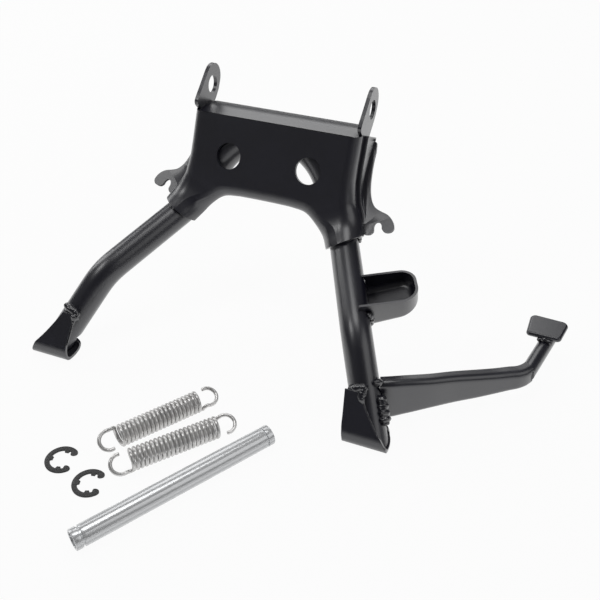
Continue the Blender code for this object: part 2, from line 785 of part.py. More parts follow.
pivot_tube = lathe("pivot_tube", pivot_profile, Matrix.Translation(pivot_middle), pivot_along, bright_zinc, 28)

clip_outer = clip_diameter / 2
clip_inner = clip_outer - 3 * MM
clip_tip = pivot_radius - groove_depth + 0.15 * MM


def clip_outline():
    """A ring open at angle zero, with a horn at each end and three prongs."""
    open_half = 38
    found = []
    for step in range(29):
        a = rad(open_half + (360 - 2 * open_half) * step / 28)
        found.append((clip_outer * math.cos(a), clip_outer * math.sin(a)))
    inner = []
    for centre, reach in ((360 - open_half - 11, 11), (270 - 4, 9), (180, 9), (90 + 4, 9), (open_half + 11, 11)):
        inner.append((centre + reach + 4, clip_inner))
        inner.append((centre + reach, clip_tip))
        inner.append((centre, clip_tip))
        inner.append((centre - reach, clip_tip))
        inner.append((centre - reach - 4, clip_inner))
    inner = inner[1:-1]
    for a, r in inner:
        found.append((r * math.cos(rad(a)), r * math.sin(rad(a))))
    return found


for word, at, turn in (("a", (-64.5, -96.0), 12), ("b", (-32.5, -107.5), 18)):
    middle = Vector((at[0] * MM, (at[1] - 199.2) * MM, floor + clip_thickness / 2))
    spin = Matrix.Rotation(rad(turn), 4, "Z")
    plate("circlip_" + word, clip_outline(), clip_thickness, Matrix.Translation(middle) @ spin, clip_steel, 0.2 * MM, 0)

spring_radius = (spring_diameter - spring_wire) / 2
spring_pitch = spring_wire + coil_gap
coil_points = 10


def spring_points():
    """A close coil along +X with an open hook at each end, the wire's middle line."""
    length = spring_coils * spring_pitch
    found = []
    total = round(spring_coils * coil_points)
    for step in range(total + 1):
        a = 2 * math.pi * step / coil_points
        found.append(Vector((-length / 2 + length * step / total, spring_radius * math.sin(a), spring_radius * math.cos(a))))
    hook = spring_hook()
    end = [Vector((length / 2 + p.x, -p.y, -p.z)) for p in hook]
    start = [Vector((-length / 2 - p.x, -p.y, p.z)) for p in hook]
    return start[::-1] + found + end


def spring_hook():
    """The hook that leaves the last coil: it turns along the axis, then loops round to an open end."""
    r = spring_radius
    turn = 3.2 * MM
    found = []
    for a in (30, 60, 90):
        found.append(Vector((turn * (1 - math.cos(rad(a))) + 0.4 * MM * a / 90, turn * math.sin(rad(a)), r - 0.15 * MM * a / 30)))
    reach = 7.6 * MM
    lateral = found[-1].y
    found.append(Vector((reach * 0.6, lateral * 0.7, r - 0.3 * MM)))
    bow = 7.5 * MM
    centre_z = r - bow
    for a in range(90, -126, -24):
        fade = 0.5 * max(0, (a + 30) / 120)
        found.append(Vector((reach + bow * math.cos(rad(a)), lateral * fade, centre_z + bow * math.sin(rad(a)))))
    return found


for word, start, end, roll in (
    ("a", (-41.5, -79.2), (15.5, 4.7), 300),
    ("b", (-21.6, -95.4), (42.8, -17.0), 120),
):
    first = Vector((start[0] * MM, (start[1] - 199.2) * MM, floor + spring_diameter / 2))
    last = Vector((end[0] * MM, (end[1] - 199.2) * MM, floor + spring_diameter / 2))
    along = (last - first).normalized()
    rise = Vector((0, 0, 1))
    side_way = rise.cross(along)
    frame = frame_of((first + last) / 2, along, side_way, rise) @ Matrix.Rotation(rad(roll), 4, "X")
    spring = swept("spring_" + word, [frame @ p for p in spring_points()], spring_wire / 2, spring_steel, 6)


# Weld beads

def bead(name, points, radius, cuts, seed):
    """A lumpy weld bead along points, hollowed to clear the pieces that it joins."""
    radii = []
    for i in range(len(points)):
        radii.append(1 + 0.16 * math.sin(2.4 * i + seed) + 0.08 * math.sin(5.1 * i + 2 * seed))
    radii[0] *= 0.7
    radii[-1] *= 0.7
    made = swept(name, points, radius, weld_black, 8, radii=radii)
    for other in cuts:
        cut(made, other)
    return made


def around(centre, first, second, radius, low_angle, high_angle, steps):
    found = []
    for i in range(steps + 1):
        a = rad(low_angle + (high_angle - low_angle) * i / steps)
        found.append(centre + (first * math.cos(a) + second * math.sin(a)) * radius)
    return found


bead_size = 2.6 * MM
shin_out = shin.cross(foot_up).normalized()
if shin_out.x < 0:
    shin_out = -shin_out
for sign, word in ((1, "right"), (-1, "left")):
    centre = axis_here - shin * (bead_size * 2.15 + weld_gap)
    ring = around(centre, foot_up, shin_out, tube_radius + bead_size * 0.55, -38, 30, 9)
    points = mirrored(ring) if sign < 0 else ring
    bead("foot_weld_" + word, points, bead_size, [fat_tube], 1.0 + sign)
    centre, along, across, forward = bend_frame(0.86)
    ring = around(centre + along * (bead_size * 0.7), across, forward, tube_radius + bead_size * 0.6, -30, 52, 8)
    points = mirrored(ring) if sign < 0 else ring
    bead("sleeve_weld_" + word, points, bead_size * 0.9, [fat_tube], 2.0 + sign)

arm_swell = arm_sheet + 6 * weld_gap
root_step = (arm_rows[0][4] - arm_rows[1][4]).normalized() * (2 * weld_gap)
fat_rows = [[point + root_step for point in arm_rows[0]]] + arm_rows
fat_arm = sheet("fat_arm", fat_rows, arm_swell, 6 * weld_gap / arm_swell - 1)
for word, start, stop, angle, count in (("upper", -2, -9, 62, 5), ("lower", 28, 4, 70, 10)):
    points = []
    for i in range(count + 1):
        along_shin = (start + (stop - start) * i / count) * MM
        turn = rad(angle)
        radial = foot_up * math.cos(turn) + shin_out * math.sin(turn)
        points.append(axis_here + shin * along_shin + radial * (tube_radius + bead_size * 0.75))
    bead("arm_weld_" + word, points, bead_size * 1.2, [fat_tube, fat_arm], 3.0 + start)

rod_front = rod_start + rod_along * ((low(0, 145.2, 0).y - rod_start.y) / rod_along.y - bead_size * 0.95 - weld_gap)
pad_bead = bead_size * 0.65
pad_ring = around(rod_front, Vector((0, 0, 1)), rod_along.cross(Vector((0, 0, 1))), rod_radius + pad_bead * 0.5, -75, 75, 9)
bead("pad_weld", pad_ring, pad_bead, [fat_rod], 5.0)

tongue_foot = tongue_at + thigh * (tongue_half + bead_size * 0.9 + weld_gap)
tongue_ring = around(tongue_foot, tongue_out, tongue_up, tube_radius + bead_size * 0.55, -38, 42, 7)
bead("tongue_weld", tongue_ring, bead_size * 0.8, [fat_tube], 6.0)
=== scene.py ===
"""A motorcycle centre stand in satin black, with its loose pivot tube, clips and springs beside it."""
import math

import bmesh
import bpy
import numpy as np
from mathutils import Matrix


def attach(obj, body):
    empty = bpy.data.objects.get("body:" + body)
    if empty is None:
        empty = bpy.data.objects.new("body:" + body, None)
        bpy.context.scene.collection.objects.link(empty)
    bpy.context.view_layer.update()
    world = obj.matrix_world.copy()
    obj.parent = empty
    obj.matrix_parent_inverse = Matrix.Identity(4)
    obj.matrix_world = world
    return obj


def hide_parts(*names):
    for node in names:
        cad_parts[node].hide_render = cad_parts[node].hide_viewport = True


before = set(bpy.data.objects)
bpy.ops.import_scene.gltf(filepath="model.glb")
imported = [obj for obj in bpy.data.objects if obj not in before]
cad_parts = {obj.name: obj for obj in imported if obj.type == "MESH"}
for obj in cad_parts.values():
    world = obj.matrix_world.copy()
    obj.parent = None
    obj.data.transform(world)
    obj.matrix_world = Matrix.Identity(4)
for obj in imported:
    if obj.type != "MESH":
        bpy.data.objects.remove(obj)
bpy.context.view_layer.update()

# Sizes of the stand in metres, as the solids have them. PIVOT_S, PIVOT_D and PIVOT_BEHIND are in millimetres.
MM = 0.001
FLOOR = -0.1843
HALF_WIDTH = 0.0765
TUBE = 0.0125
TUBE_WALL = 0.002
GAP = 0.0003
CROWN_SHEET = 0.0035
SLEEVE = TUBE + GAP + CROWN_SHEET
PLATE = 0.003
PIVOT_S = 58.0
PIVOT_D = 24.8
PIVOT_BEHIND = 199.2
PIVOT_RADIUS = 0.008
PIVOT_HOLE = 0.00815
PANEL_HOLE = 0.01135
ROD = 0.00625
LEAN = math.radians(26)
UP = np.array((0, math.sin(LEAN), math.cos(LEAN)))
BACK = np.array((0, math.cos(LEAN), -math.sin(LEAN)))
SIDE = np.array((1.0, 0, 0))
HIGH = np.array((0, 0, 1.0))


# Points and vectors

joined = np.concatenate


def vec(*numbers):
    return np.array(numbers, float)


def unit(v):
    """v divided by its length, for one vector or for rows of them."""
    return v / np.linalg.norm(v, axis=-1, keepdims=True)


def facing(v, way):
    """v at unit length, turned round where it points against the way."""
    v = unit(v)
    return v * np.sign(v @ way)


def crown(x, s, d):
    """A point from millimetres sideways, up the leaning panel and behind its face: x SIDE + s UP + d BACK."""
    x, s, d = np.broadcast_arrays(x, s, d)
    return (x[..., None] * SIDE + (s[..., None] - PIVOT_S) * UP + (d[..., None] - PIVOT_D) * BACK) * MM


def low(x, y, z):
    """A point from millimetres sideways, backwards and above the floor."""
    x, y, z = np.broadcast_arrays(x, y, z)
    return np.stack([x * MM, (y - PIVOT_BEHIND) * MM, FLOOR + z * MM], -1)


def turned(centre, first, second, radius, degrees):
    """Points of an arc: centre + (first cos a + second sin a) radius."""
    a = np.radians(degrees)[:, None]
    return centre + (first * np.cos(a) + second * np.sin(a)) * radius


def mirrored(points):
    return points * vec(-1, 1, 1)


def fillet(before, corner, after, radius, steps):
    """Arc of this radius in place of a corner: centre + (a sin((1-t) angle) + b sin(t angle)) / sin(angle)."""
    to_a, to_b = before - corner, after - corner
    long_a, long_b = np.linalg.norm(to_a), np.linalg.norm(to_b)
    half = math.acos(np.clip(to_a @ to_b / long_a / long_b, -1, 1)) / 2
    reach = min(radius / math.tan(half), 0.98 * long_a, 0.98 * long_b)
    radius = reach * math.tan(half)
    centre = corner + unit(unit(to_a) + unit(to_b)) * (radius / math.sin(half))
    arm_a = corner + unit(to_a) * reach - centre
    arm_b = corner + unit(to_b) * reach - centre
    angle = math.acos(np.clip(arm_a @ arm_b / radius ** 2, -1, 1))
    t = np.linspace(0, 1, steps + 1)[:, None]
    return centre + (arm_a * np.sin((1 - t) * angle) + arm_b * np.sin(t * angle)) / math.sin(angle)


def rounded(outline, radii, steps):
    """A closed outline in a plane with each corner turned to an arc, where its radius is over zero."""
    found = []
    corners = [vec(x, y, 0) for x, y in outline]
    for i, corner in enumerate(corners):
        before, after = corners[i - 1], corners[(i + 1) % len(corners)]
        if radii[i] <= 0:
            found.append(corner[None])
            continue
        limit = 0.45 * min(np.linalg.norm(before - corner), np.linalg.norm(after - corner))
        half = math.acos(unit(before - corner) @ unit(after - corner)) / 2
        found.append(fillet(before, corner, after, min(radii[i], limit * math.tan(half)), steps))
    return joined(found)[:, :2]


def smoothed(rows, parts, closed=False, tangents=None):
    """Cubic curves through rows of points, each taking parts steps from one row to the next.

    Between a and b it is (2t^3-3t^2+1) a + (t^3-2t^2+t) m + (3t^2-2t^3) b + (t^3-t^2) n, where a tangent is
    the mean of the two slopes beside it, weighted by the other one's length.
    """
    rows = np.asarray(rows, float)
    flat = rows.ndim == 2
    if flat:
        rows = rows[:, None]
    if closed:
        rows = joined([rows[-2:], rows, rows[:3]])
    step = np.diff(rows, axis=0)
    long = np.maximum(np.linalg.norm(step, axis=2, keepdims=True), 1e-7)
    slope = step / long
    middle = (slope[:-1] * long[1:] + slope[1:] * long[:-1]) / (long[1:] + long[:-1])
    lead = joined([slope[:1], middle])
    trail = joined([middle, slope[-1:]])
    if tangents is not None:
        lead, trail = tangents(lead, trail, slope)
    t = np.linspace(0, 1, parts, endpoint=False)[None, :, None, None]
    a, b = rows[:-1, None], rows[1:, None]
    m, n = (lead * long)[:, None], (trail * long)[:, None]
    body = (2 * t ** 3 - 3 * t ** 2 + 1) * a + (t ** 3 - 2 * t ** 2 + t) * m
    body = body + (3 * t ** 2 - 2 * t ** 3) * b + (t ** 3 - t ** 2) * n
    if closed:
        body = body[2:-2]
    body = body.reshape(-1, *rows.shape[1:])
    if not closed:
        body = joined([body, rows[-1:]])
    return body[:, 0] if flat else body


def evened(path, spacing, soften=0):
    """The path at even steps, each point then the mean of its neighbours soften times over."""
    along = joined([[0], np.cumsum(np.linalg.norm(np.diff(path, axis=0), axis=1))])
    at = np.linspace(0, along[-1], max(int(along[-1] / spacing), 2))
    path = np.stack([np.interp(at, along, path[:, i]) for i in range(3)], 1)
    for _ in range(soften):
        path[1:-1] = (path[:-2] + 2 * path[1:-1] + path[2:]) / 4
    return path


# Meshes

def strips(rows, columns, closed_rows=False, closed_columns=False):
    """Corner numbers of the four-sided faces of a grid, as an array."""
    i, j = np.meshgrid(
        np.arange(rows if closed_rows else rows - 1),
        np.arange(columns if closed_columns else columns - 1),
        indexing="ij",
    )
    a = i * columns + j
    b = i * columns + (j + 1) % columns
    c = (i + 1) % rows * columns + (j + 1) % columns
    d = (i + 1) % rows * columns + j
    return np.stack([a, b, c, d], -1).reshape(-1, 4)


def new_object(name, verts, faces, merge=1e-6, sheet=False):
    """An object of this mesh, its doubles merged and, unless it is an open sheet, its faces turned outwards."""
    mesh = bpy.data.meshes.new(name)
    mesh.from_pydata(np.asarray(verts).reshape(-1, 3).tolist(), [], [list(map(int, face)) for face in faces])
    work = bmesh.new()
    work.from_mesh(mesh)
    bmesh.ops.remove_doubles(work, verts=work.verts, dist=merge)
    if not sheet:
        bmesh.ops.recalc_face_normals(work, faces=work.faces)
    if all(edge.is_manifold for edge in work.edges) and work.calc_volume(signed=True) < 0:
        bmesh.ops.reverse_faces(work, faces=work.faces)
    work.to_mesh(mesh)
    work.free()
    mesh.polygons.foreach_set("use_smooth", np.ones(len(mesh.polygons), bool))
    obj = bpy.data.objects.new(name, mesh)
    bpy.context.scene.collection.objects.link(obj)
    return obj


def solid_grid(name, grid, closed_rows=False, closed_columns=True):
    """A closed solid from rings of points, with an end face on the first and last ring unless they join."""
    grid = np.asarray(grid)
    rows, columns = grid.shape[:2]
    faces = strips(rows, columns, closed_rows, closed_columns).tolist()
    if not closed_rows:
        faces.append(list(range(columns))[::-1])
        faces.append(list(range((rows - 1) * columns, rows * columns)))
    return new_object(name, grid, faces)


def thick_sheet(name, rows, thickness, offset):
    """A sheet through rows of points, thickened to one side (-1 or 1) or both (0)."""
    rows = np.asarray(rows)
    obj = new_object(name, rows, strips(*rows.shape[:2]), sheet=True)
    thickened(obj, thickness, offset)
    return obj


def thickened(obj, thickness, offset):
    solid = obj.modifiers.new("thickness", "SOLIDIFY")
    solid.thickness = thickness
    solid.offset = offset
    solid.use_even_offset = True
    solid.thickness_clamp = 0
    applied(obj)


def points_of(mesh):
    points = np.empty(len(mesh.vertices) * 3)
    mesh.vertices.foreach_get("co", points)
    return points.reshape(-1, 3)


def applied(obj):
    """Works the object's modifiers into its mesh."""
    graph = bpy.context.evaluated_depsgraph_get()
    mesh = bpy.data.meshes.new_from_object(obj.evaluated_get(graph))
    obj.modifiers.clear()
    obj.data = mesh
    mesh.polygons.foreach_set("use_smooth", np.ones(len(mesh.polygons), bool))


def combined(obj, other, operation="DIFFERENCE", solver="EXACT"):
    """Cuts another object away, or joins it on, and then removes it."""
    modifier = obj.modifiers.new("combine", "BOOLEAN")
    modifier.operation = operation
    modifier.solver = solver
    modifier.object = other
    applied(obj)
    bpy.data.objects.remove(other, do_unlink=True)


def squared(reference, along):
    """The reference made square to each direction, at unit length: (v - (v . a) a) / its length."""
    return unit(reference - (reference * along).sum(1, keepdims=True) * along)


def tube_rings(path, radius, sides, reference):
    """Rings round a path: p + (n cos a + b sin a) r, n being the reference made square to the path."""
    path = np.asarray(path)
    along = unit(np.gradient(path, axis=0))
    n = squared(reference, along)
    b = np.cross(along, n)
    a = np.arange(sides) * 2 * np.pi / sides
    radius = np.broadcast_to(np.asarray(radius, float).reshape(-1, 1, 1), (len(path), 1, 1))
    turn = n[:, None] * np.cos(a)[None, :, None] + b[:, None] * np.sin(a)[None, :, None]
    return path[:, None] + turn * radius


def plate(name, outline, thickness, origin, x_axis, y_axis, z_axis):
    """A flat plate: its outline carried half the thickness either way along the plate's normal."""
    outline = np.asarray(outline)
    flat = origin + outline[:, :1] * x_axis + outline[:, 1:2] * y_axis
    rings = np.stack([flat - z_axis * (thickness / 2), flat + z_axis * (thickness / 2)])
    return solid_grid(name, rings)


def cylinder(name, start, end, radius, sides):
    along = unit(end - start)
    reference = SIDE if abs(along[0]) < 0.8 else HIGH
    return solid_grid(name, tube_rings(np.stack([start, end]), radius, sides, reference))


def edged(obj, width, angle=35, segments=2):
    """Small rounds on the sharp edges, with the shading of each large face kept flat."""
    bevel = obj.modifiers.new("edges", "BEVEL")
    bevel.width = width
    bevel.segments = segments
    bevel.limit_method = "ANGLE"
    bevel.angle_limit = math.radians(angle)
    bevel.use_clamp_overlap = True
    weighted = obj.modifiers.new("shading", "WEIGHTED_NORMAL")
    weighted.keep_sharp = False
    weighted.weight = 60


# Finishes

class Value:
    """A socket that takes part in Python sums: each operator adds the Math node for it."""

    def __init__(self, finish, socket):
        self.finish = finish
        self.socket = socket

    def maths(self, operation, *others):
        return self.finish.node("ShaderNodeMath", {"operation": operation}, dict(enumerate((self, *others))))

    def __add__(self, other):
        return self.maths("ADD", other)

    __radd__ = __add__

    def __mul__(self, other):
        return self.maths("MULTIPLY", other)

    __rmul__ = __mul__

    def within(self, lowest, highest):
        """0 below the lowest value, 1 above the highest, and even between."""
        return self.finish.node(
            "ShaderNodeMapRange",
            {"clamp": True},
            {"Value": self, "From Min": lowest, "From Max": highest},
        )


class Finish:
    """A material, and the nodes that make it."""

    def __init__(self, name, colour, metallic, roughness, **constants):
        self.material = bpy.data.materials.new(name)
        self.material.use_nodes = True
        self.tree = self.material.node_tree
        self.shader = self.tree.nodes["Principled BSDF"]
        self.shader.inputs["Base Color"].default_value = (*colour, 1)
        self.shader.inputs["Metallic"].default_value = metallic
        self.shader.inputs["Roughness"].default_value = roughness
        for socket, value in constants.items():
            self.shader.inputs[socket.replace("_", " ")].default_value = value
        self.place = self.node("ShaderNodeTexCoord", {}, {}, "Object")

    def node(self, kind, settings, inputs, output=0):
        """Any node: its settings first, then a value or a link for each named or numbered socket."""
        made = self.tree.nodes.new(kind)
        for setting, value in settings.items():
            setattr(made, setting, value)
        for socket, value in inputs.items():
            if isinstance(value, Value):
                self.tree.links.new(value.socket, made.inputs[socket])
            else:
                made.inputs[socket].default_value = value
        return Value(self, made.outputs[output])

    def noise(self, scale, detail=2.0, roughness=0.5, place=None):
        return self.node(
            "ShaderNodeTexNoise",
            {},
            {"Vector": place or self.place, "Scale": scale, "Detail": detail, "Roughness": roughness},
            "Fac",
        )

    def mix(self, factor, first, second):
        """A colour between two, by a factor."""
        return self.node(
            "ShaderNodeMix", {"data_type": "RGBA"}, {0: factor, 6: (*first, 1), 7: (*second, 1)}, 2
        )

    def feed(self, socket, value):
        self.tree.links.new(value.socket, self.shader.inputs[socket])

    def bump(self, height, distance):
        inputs = {"Height": height, "Distance": distance, "Strength": 1.0}
        self.feed("Normal", self.node("ShaderNodeBump", {}, inputs))


def satin(name, colour, roughness, peel):
    """Powder coat: a very fine orange peel, and a sheen that changes slowly from place to place."""
    made = Finish(name, colour, 0.0, roughness, Specular_IOR_Level=0.9, Coat_Weight=0.9, Coat_Roughness=0.27)
    slow = made.noise(28.0, 3.0)
    fine = made.noise(900.0, 2.0)
    made.feed("Roughness", roughness - 0.04 + slow * 0.06 + fine * 0.01)
    lift = tuple(c * 1.5 for c in colour)
    made.feed("Base Color", made.mix(slow.within(0.3, 0.75), colour, lift))
    made.bump(made.noise(260.0), peel)
    return made.material


def zinc(name, colour, metal, roughness, scratch, streak, deep):
    """Bright plating: fine drawn lines along the piece and a faint cloud of dull and bright."""
    made = Finish(name, colour, metal, roughness)
    along = made.node("ShaderNodeUVMap", {"uv_map": "along"}, {})
    lines = made.node("ShaderNodeMapping", {}, {"Vector": along, "Scale": scratch})
    fine = made.noise(1.0, 1.0, 0.5, lines)
    cloud = made.noise(60.0, 3.0)
    made.feed("Roughness", roughness - 0.03 + fine * 0.04 + cloud * 0.03)
    broad = made.noise(1.0, 1.0, 0.5, made.node("ShaderNodeMapping", {}, {"Vector": along, "Scale": streak}))
    dull = tuple(c * 0.74 for c in colour)
    made.feed("Base Color", made.mix((broad * 0.7 + fine * 0.3).within(0.36, 0.6), dull, colour))
    made.bump(fine, deep)
    return made.material


def phosphate():
    """Dark clip steel: grey with a fine mottle."""
    made = Finish("clip_steel", (0.07, 0.07, 0.07), 0.6, 0.5)
    fine = made.noise(1200.0, 3.0)
    made.feed("Base Color", made.mix(fine.within(0.35, 0.65), (0.055, 0.055, 0.056), (0.09, 0.09, 0.09)))
    made.feed("Roughness", 0.42 + fine * 0.16)
    made.bump(fine, 0.00002)
    return made.material


# A finish is looked up here by its slot, because the frame brings materials of the same names
BLACK, BRIGHT, SPRING = (0.0034, 0.0035, 0.0115), (0.97, 0.985, 1.0), (0.9, 0.89, 0.88)
FINISHES = {
    "satin_black": satin("satin_black", BLACK, 0.4, 0.000006),
    "weld_black": satin("weld_black", (0.005, 0.005, 0.011), 0.28, 0.00001),
    "bright_zinc": zinc("bright_zinc", BRIGHT, 0.32, 0.2, (0.15, 30.0, 1.0), (0.1, 11.0, 1.0), 0.000001),
    "spring_zinc": zinc("spring_zinc", SPRING, 0.5, 0.22, (4.0, 30.0, 1.0), (1.0, 3.0, 1.0), 0.000002),
    "clip_steel": phosphate(),
}


def shown(obj, slot, node):
    """Finishes a piece, lets it ride on the stand's one body, and hides the solid that it stands for."""
    obj.data.materials.clear()
    obj.data.materials.append(FINISHES[slot])
    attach(obj, "root")
    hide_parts(node)


# Leg hoop

BEND_STEPS = 36
tube_depth = (CROWN_SHEET + GAP + TUBE) / MM
arch_top = 35.7 - TUBE / MM
shoulder = crown(35.2, arch_top, tube_depth)
bend_at = crown(71.5, -46, tube_depth)
kink = low(115.7, 57.3, 60.2)
shin_end = low(138.0, 23.6, 17.8)
shin = unit(shin_end - kink)
leg_end = shin_end + shin * 0.034
arch = fillet(mirrored(shoulder), shoulder, bend_at, 0.058, 40)
forward_bend = fillet(arch[-1], bend_at, kink, 0.055, BEND_STEPS)
knee = fillet(forward_bend[-1], kink, leg_end, 0.050, 24)
half_path = evened(joined([arch, forward_bend, knee, leg_end[None]]), 0.0016, 10)
hoop_path = joined([mirrored(half_path)[::-1], half_path])
thigh = unit(kink - bend_at)

sides_round = 48
outside = tube_rings(hoop_path, TUBE, sides_round, BACK[None])
inside = tube_rings(hoop_path, TUBE - TUBE_WALL, sides_round, BACK[None])
leg_tube = solid_grid("leg_hoop", joined([outside, inside[::-1]]), closed_rows=True)
fat_half = joined([half_path, (half_path[-1] + shin * GAP)[None]])


def fat_tube():
    """The leg hoop with its welding gap, for cutting others."""
    path = joined([mirrored(fat_half)[::-1], fat_half])
    return solid_grid("fat_tube", tube_rings(path, TUBE + GAP, 40, BACK[None]))


# Crown shell

def bend_frame(part):
    """Tube axis point and its directions a part of the way round the forward bend."""
    at = part * BEND_STEPS
    i = min(int(at), BEND_STEPS - 1)
    point = forward_bend[i] * (1 - (at - i)) + forward_bend[i + 1] * (at - i)
    start = unit(bend_at - forward_bend[0])
    angle = math.acos(start @ thigh)
    along = (start * math.sin((1 - part) * angle) + thigh * math.sin(part * angle)) / math.sin(angle)
    across = facing(np.cross(along, BACK), SIDE)
    return point, along, across, facing(np.cross(along, across), -BACK)


HOOK_BEHIND = 28.3
HOOK_SLOPE = 0.33


def hook_depth(s):
    """Depth of the hook plane behind the panel face, 28.3 + 0.33 s."""
    return HOOK_BEHIND + HOOK_SLOPE * s


# Down the panel: (x, s) where the flat begins and where the wall stands, the wall's tilt, the corner's radius
FLAT_ROWS = (
    ((0, 33), (76.5, 33), 0, 9.5), ((0, 26), (76.5, 29), 0, 9.5), ((0, 17), (76.5, 25), 0, 9.5),
    ((0, 7), (76.5, 20), 0, 9.5), ((0, -4), (76.5, 14.5), 0, 9.5), ((0, -15), (76.5, 8.5), 0, 9.5),
    ((0, -25.4), (76.7, 2.5), 4, 9.8), ((14, -25.5), (77.0, -3.5), 9, 10.2),
    ((27.6, -26), (77.8, -9.5), 15, 10.8), ((40.6, -27.7), (79.0, -15.5), 22, 11.6),
)
# Down the sleeve: part of the bend, room at the leg's inner and outer side, radii of lip and corner, lip's sway
SLEEVE_ROWS = (
    (0.05, 4.2, 3.2, 10.0, 12.6, 23), (0.29, 1.7, 3.2, 12.0, 14.0, 9),
    (0.52, 0.5, 2.6, None, 15.3, 0), (0.84, 0.0, 1.5, None, None, 0),
)
SLEEVE_DRAWN = 16.3 * MM
END_SLANT = 0.55
WRAP_PARTS, WRAP_TURNS = (0.29, 0.52, 0.82), (0, 44, 66)
LEAN_SHARE = 0.3
LEAST_FLAT = 1.0 * MM
BAND_DEPTH = 7 * MM
# For each row of the panel that has a lip: the way that it turns, as x and s, and its radius
LIP_NORMALS = {6: (0, -1, 8.0), 7: (-0.03, -1, 8.0), 8: (-0.1, -0.995, 8.0), 9: (-0.3, -0.954, 8.5)}
corner_turns = np.linspace(0, 90, 19)
lip_turns = np.linspace(20, 82, 9)
flat_parts = np.linspace(0, 1, 13)[:-1, None]
wall_parts = np.linspace(0, 1, 7)[1:, None]
shell_rows, lips, walls = [], [], []
for index, (inner, outer, tilt, radius) in enumerate(FLAT_ROWS):
    tilt = math.radians(tilt)
    across = SIDE * math.cos(tilt) + UP * math.sin(tilt)
    centre = crown(outer[0], outer[1], radius) - across * (radius * MM)
    begin = crown(inner[0], inner[1], 0)
    front = centre - BACK * (radius * MM)
    arc = turned(centre, -BACK, across, radius * MM, corner_turns)
    if index == 0:
        arc = arc + UP * (3.0 * MM * np.linspace(0, 1, len(arc))[:, None] ** 2)
    depth = (hook_depth(outer[1]) + 1.0 - radius) * MM
    wall = arc[-1] + BACK * depth * wall_parts
    shell_rows.append(joined([begin + (front - begin) * flat_parts, arc, wall]))
    walls.append((arc[-1], across, BACK, depth))
    if index in LIP_NORMALS:
        nx, ns, lip = LIP_NORMALS[index]
        normal = unit(SIDE * nx + UP * ns)
        lips.append(turned(begin + BACK * (lip * MM), -BACK, normal, lip * MM, lip_turns))
for part, room_in, room_out, lip, radius, sway in SLEEVE_ROWS:
    centre, along, across, forward = bend_frame(part)
    outer_edge = SLEEVE + room_out * MM
    inner_edge = SLEEVE + room_in * MM
    grow = SLEEVE / SLEEVE_DRAWN
    radius = SLEEVE if radius is None else radius * MM * grow
    if lip is None:
        lip = inner_edge - 2.0 * MM if room_in > 0 else SLEEVE
    else:
        lip = lip * MM * grow
    swing = math.radians(sway)
    normal = unit(along * math.sin(swing) - across * math.cos(swing))
    begin = centre + forward * SLEEVE - across * ((inner_edge - lip) * math.cos(swing))
    begin = begin + along * ((inner_edge - lip) * math.sin(swing) * 0.5)
    front = centre + forward * SLEEVE + across * (outer_edge - radius)
    if (front - begin) @ across < LEAST_FLAT:
        middle = (front + begin) / 2
        begin, front = middle - across * (LEAST_FLAT / 2), middle + across * (LEAST_FLAT / 2)
    arc = turned(front - forward * radius, forward, across, radius, corner_turns)
    depth = max(1.5 * MM, (8.5 - 9.0 * part) * MM)
    wrap = np.interp(part, WRAP_PARTS, WRAP_TURNS)
    if wrap:
        wall = turned(front - forward * radius, forward, across, radius, 90 + wrap * wall_parts[:, 0])
    else:
        wall = arc[-1] - forward * depth * wall_parts
    row = joined([begin + (front - begin) * flat_parts, arc, wall])
    fold = turned(begin - forward * lip, forward, normal, lip, lip_turns)
    if part == SLEEVE_ROWS[-1][0]:
        row, fold = (rim + along * (((rim - centre) @ forward)[:, None] * END_SLANT) for rim in (row, fold))
    shell_rows.append(row)
    lean_in = math.radians(LEAN_SHARE * wrap)
    leaning = across * math.cos(lean_in) - forward * math.sin(lean_in)
    walls.append((arc[-1], leaning, facing(np.cross(leaning, along), -forward), max(depth, BAND_DEPTH)))
    lips.append(fold)
shell_rows, lips = np.array(shell_rows), np.array(lips)
ROW_PARTS = 9
SPLIT = 6


def split_tangents(lead, trail, slope):
    """At the panel's lower edge the flat part keeps straight on, and the corner and wall run smoothly by."""
    columns = slope.shape[1]
    smooth = np.clip((np.arange(columns) - 4) / 8, 0, 1)[:, None]
    trail = trail.copy()
    lead = lead.copy()
    trail[SPLIT - 1] = trail[SPLIT - 1] * smooth + slope[SPLIT - 1] * (1 - smooth)
    lead[SPLIT] = lead[SPLIT] * smooth + slope[SPLIT] * (1 - smooth)
    return lead, trail


def middle_tangents(lead, trail, slope):
    """At the middle of the arch the lip runs straight sideways."""
    lead = lead.copy()
    lead[0] = SIDE
    return lead, trail


fine_rows = smoothed(shell_rows, ROW_PARTS, tangents=split_tangents)
fine_lips = smoothed(lips, ROW_PARTS, tangents=middle_tangents)
first_column = fine_rows[SPLIT * ROW_PARTS:, :1]
lip_grid = joined([first_column, fine_lips], 1)
row_faces = strips(*fine_rows.shape[:2])[:, ::-1]
lip_faces = strips(*lip_grid.shape[:2]) + fine_rows.shape[0] * fine_rows.shape[1]
shell_points = joined([fine_rows.reshape(-1, 3), lip_grid.reshape(-1, 3)])
both = joined([shell_points, mirrored(shell_points)])
half_faces = joined([row_faces, lip_faces])
crown_shell = new_object("crown", both, joined([half_faces, half_faces[:, ::-1] + len(shell_points)]), 2e-5)
shell_mesh = crown_shell.data
normals = np.zeros(len(shell_mesh.polygons) * 3)
shell_mesh.polygons.foreach_get("normal", normals)
if (normals.reshape(-1, 3) @ BACK).sum() > 0:
    shell_mesh.flip_normals()
thickened(crown_shell, CROWN_SHEET, -1)

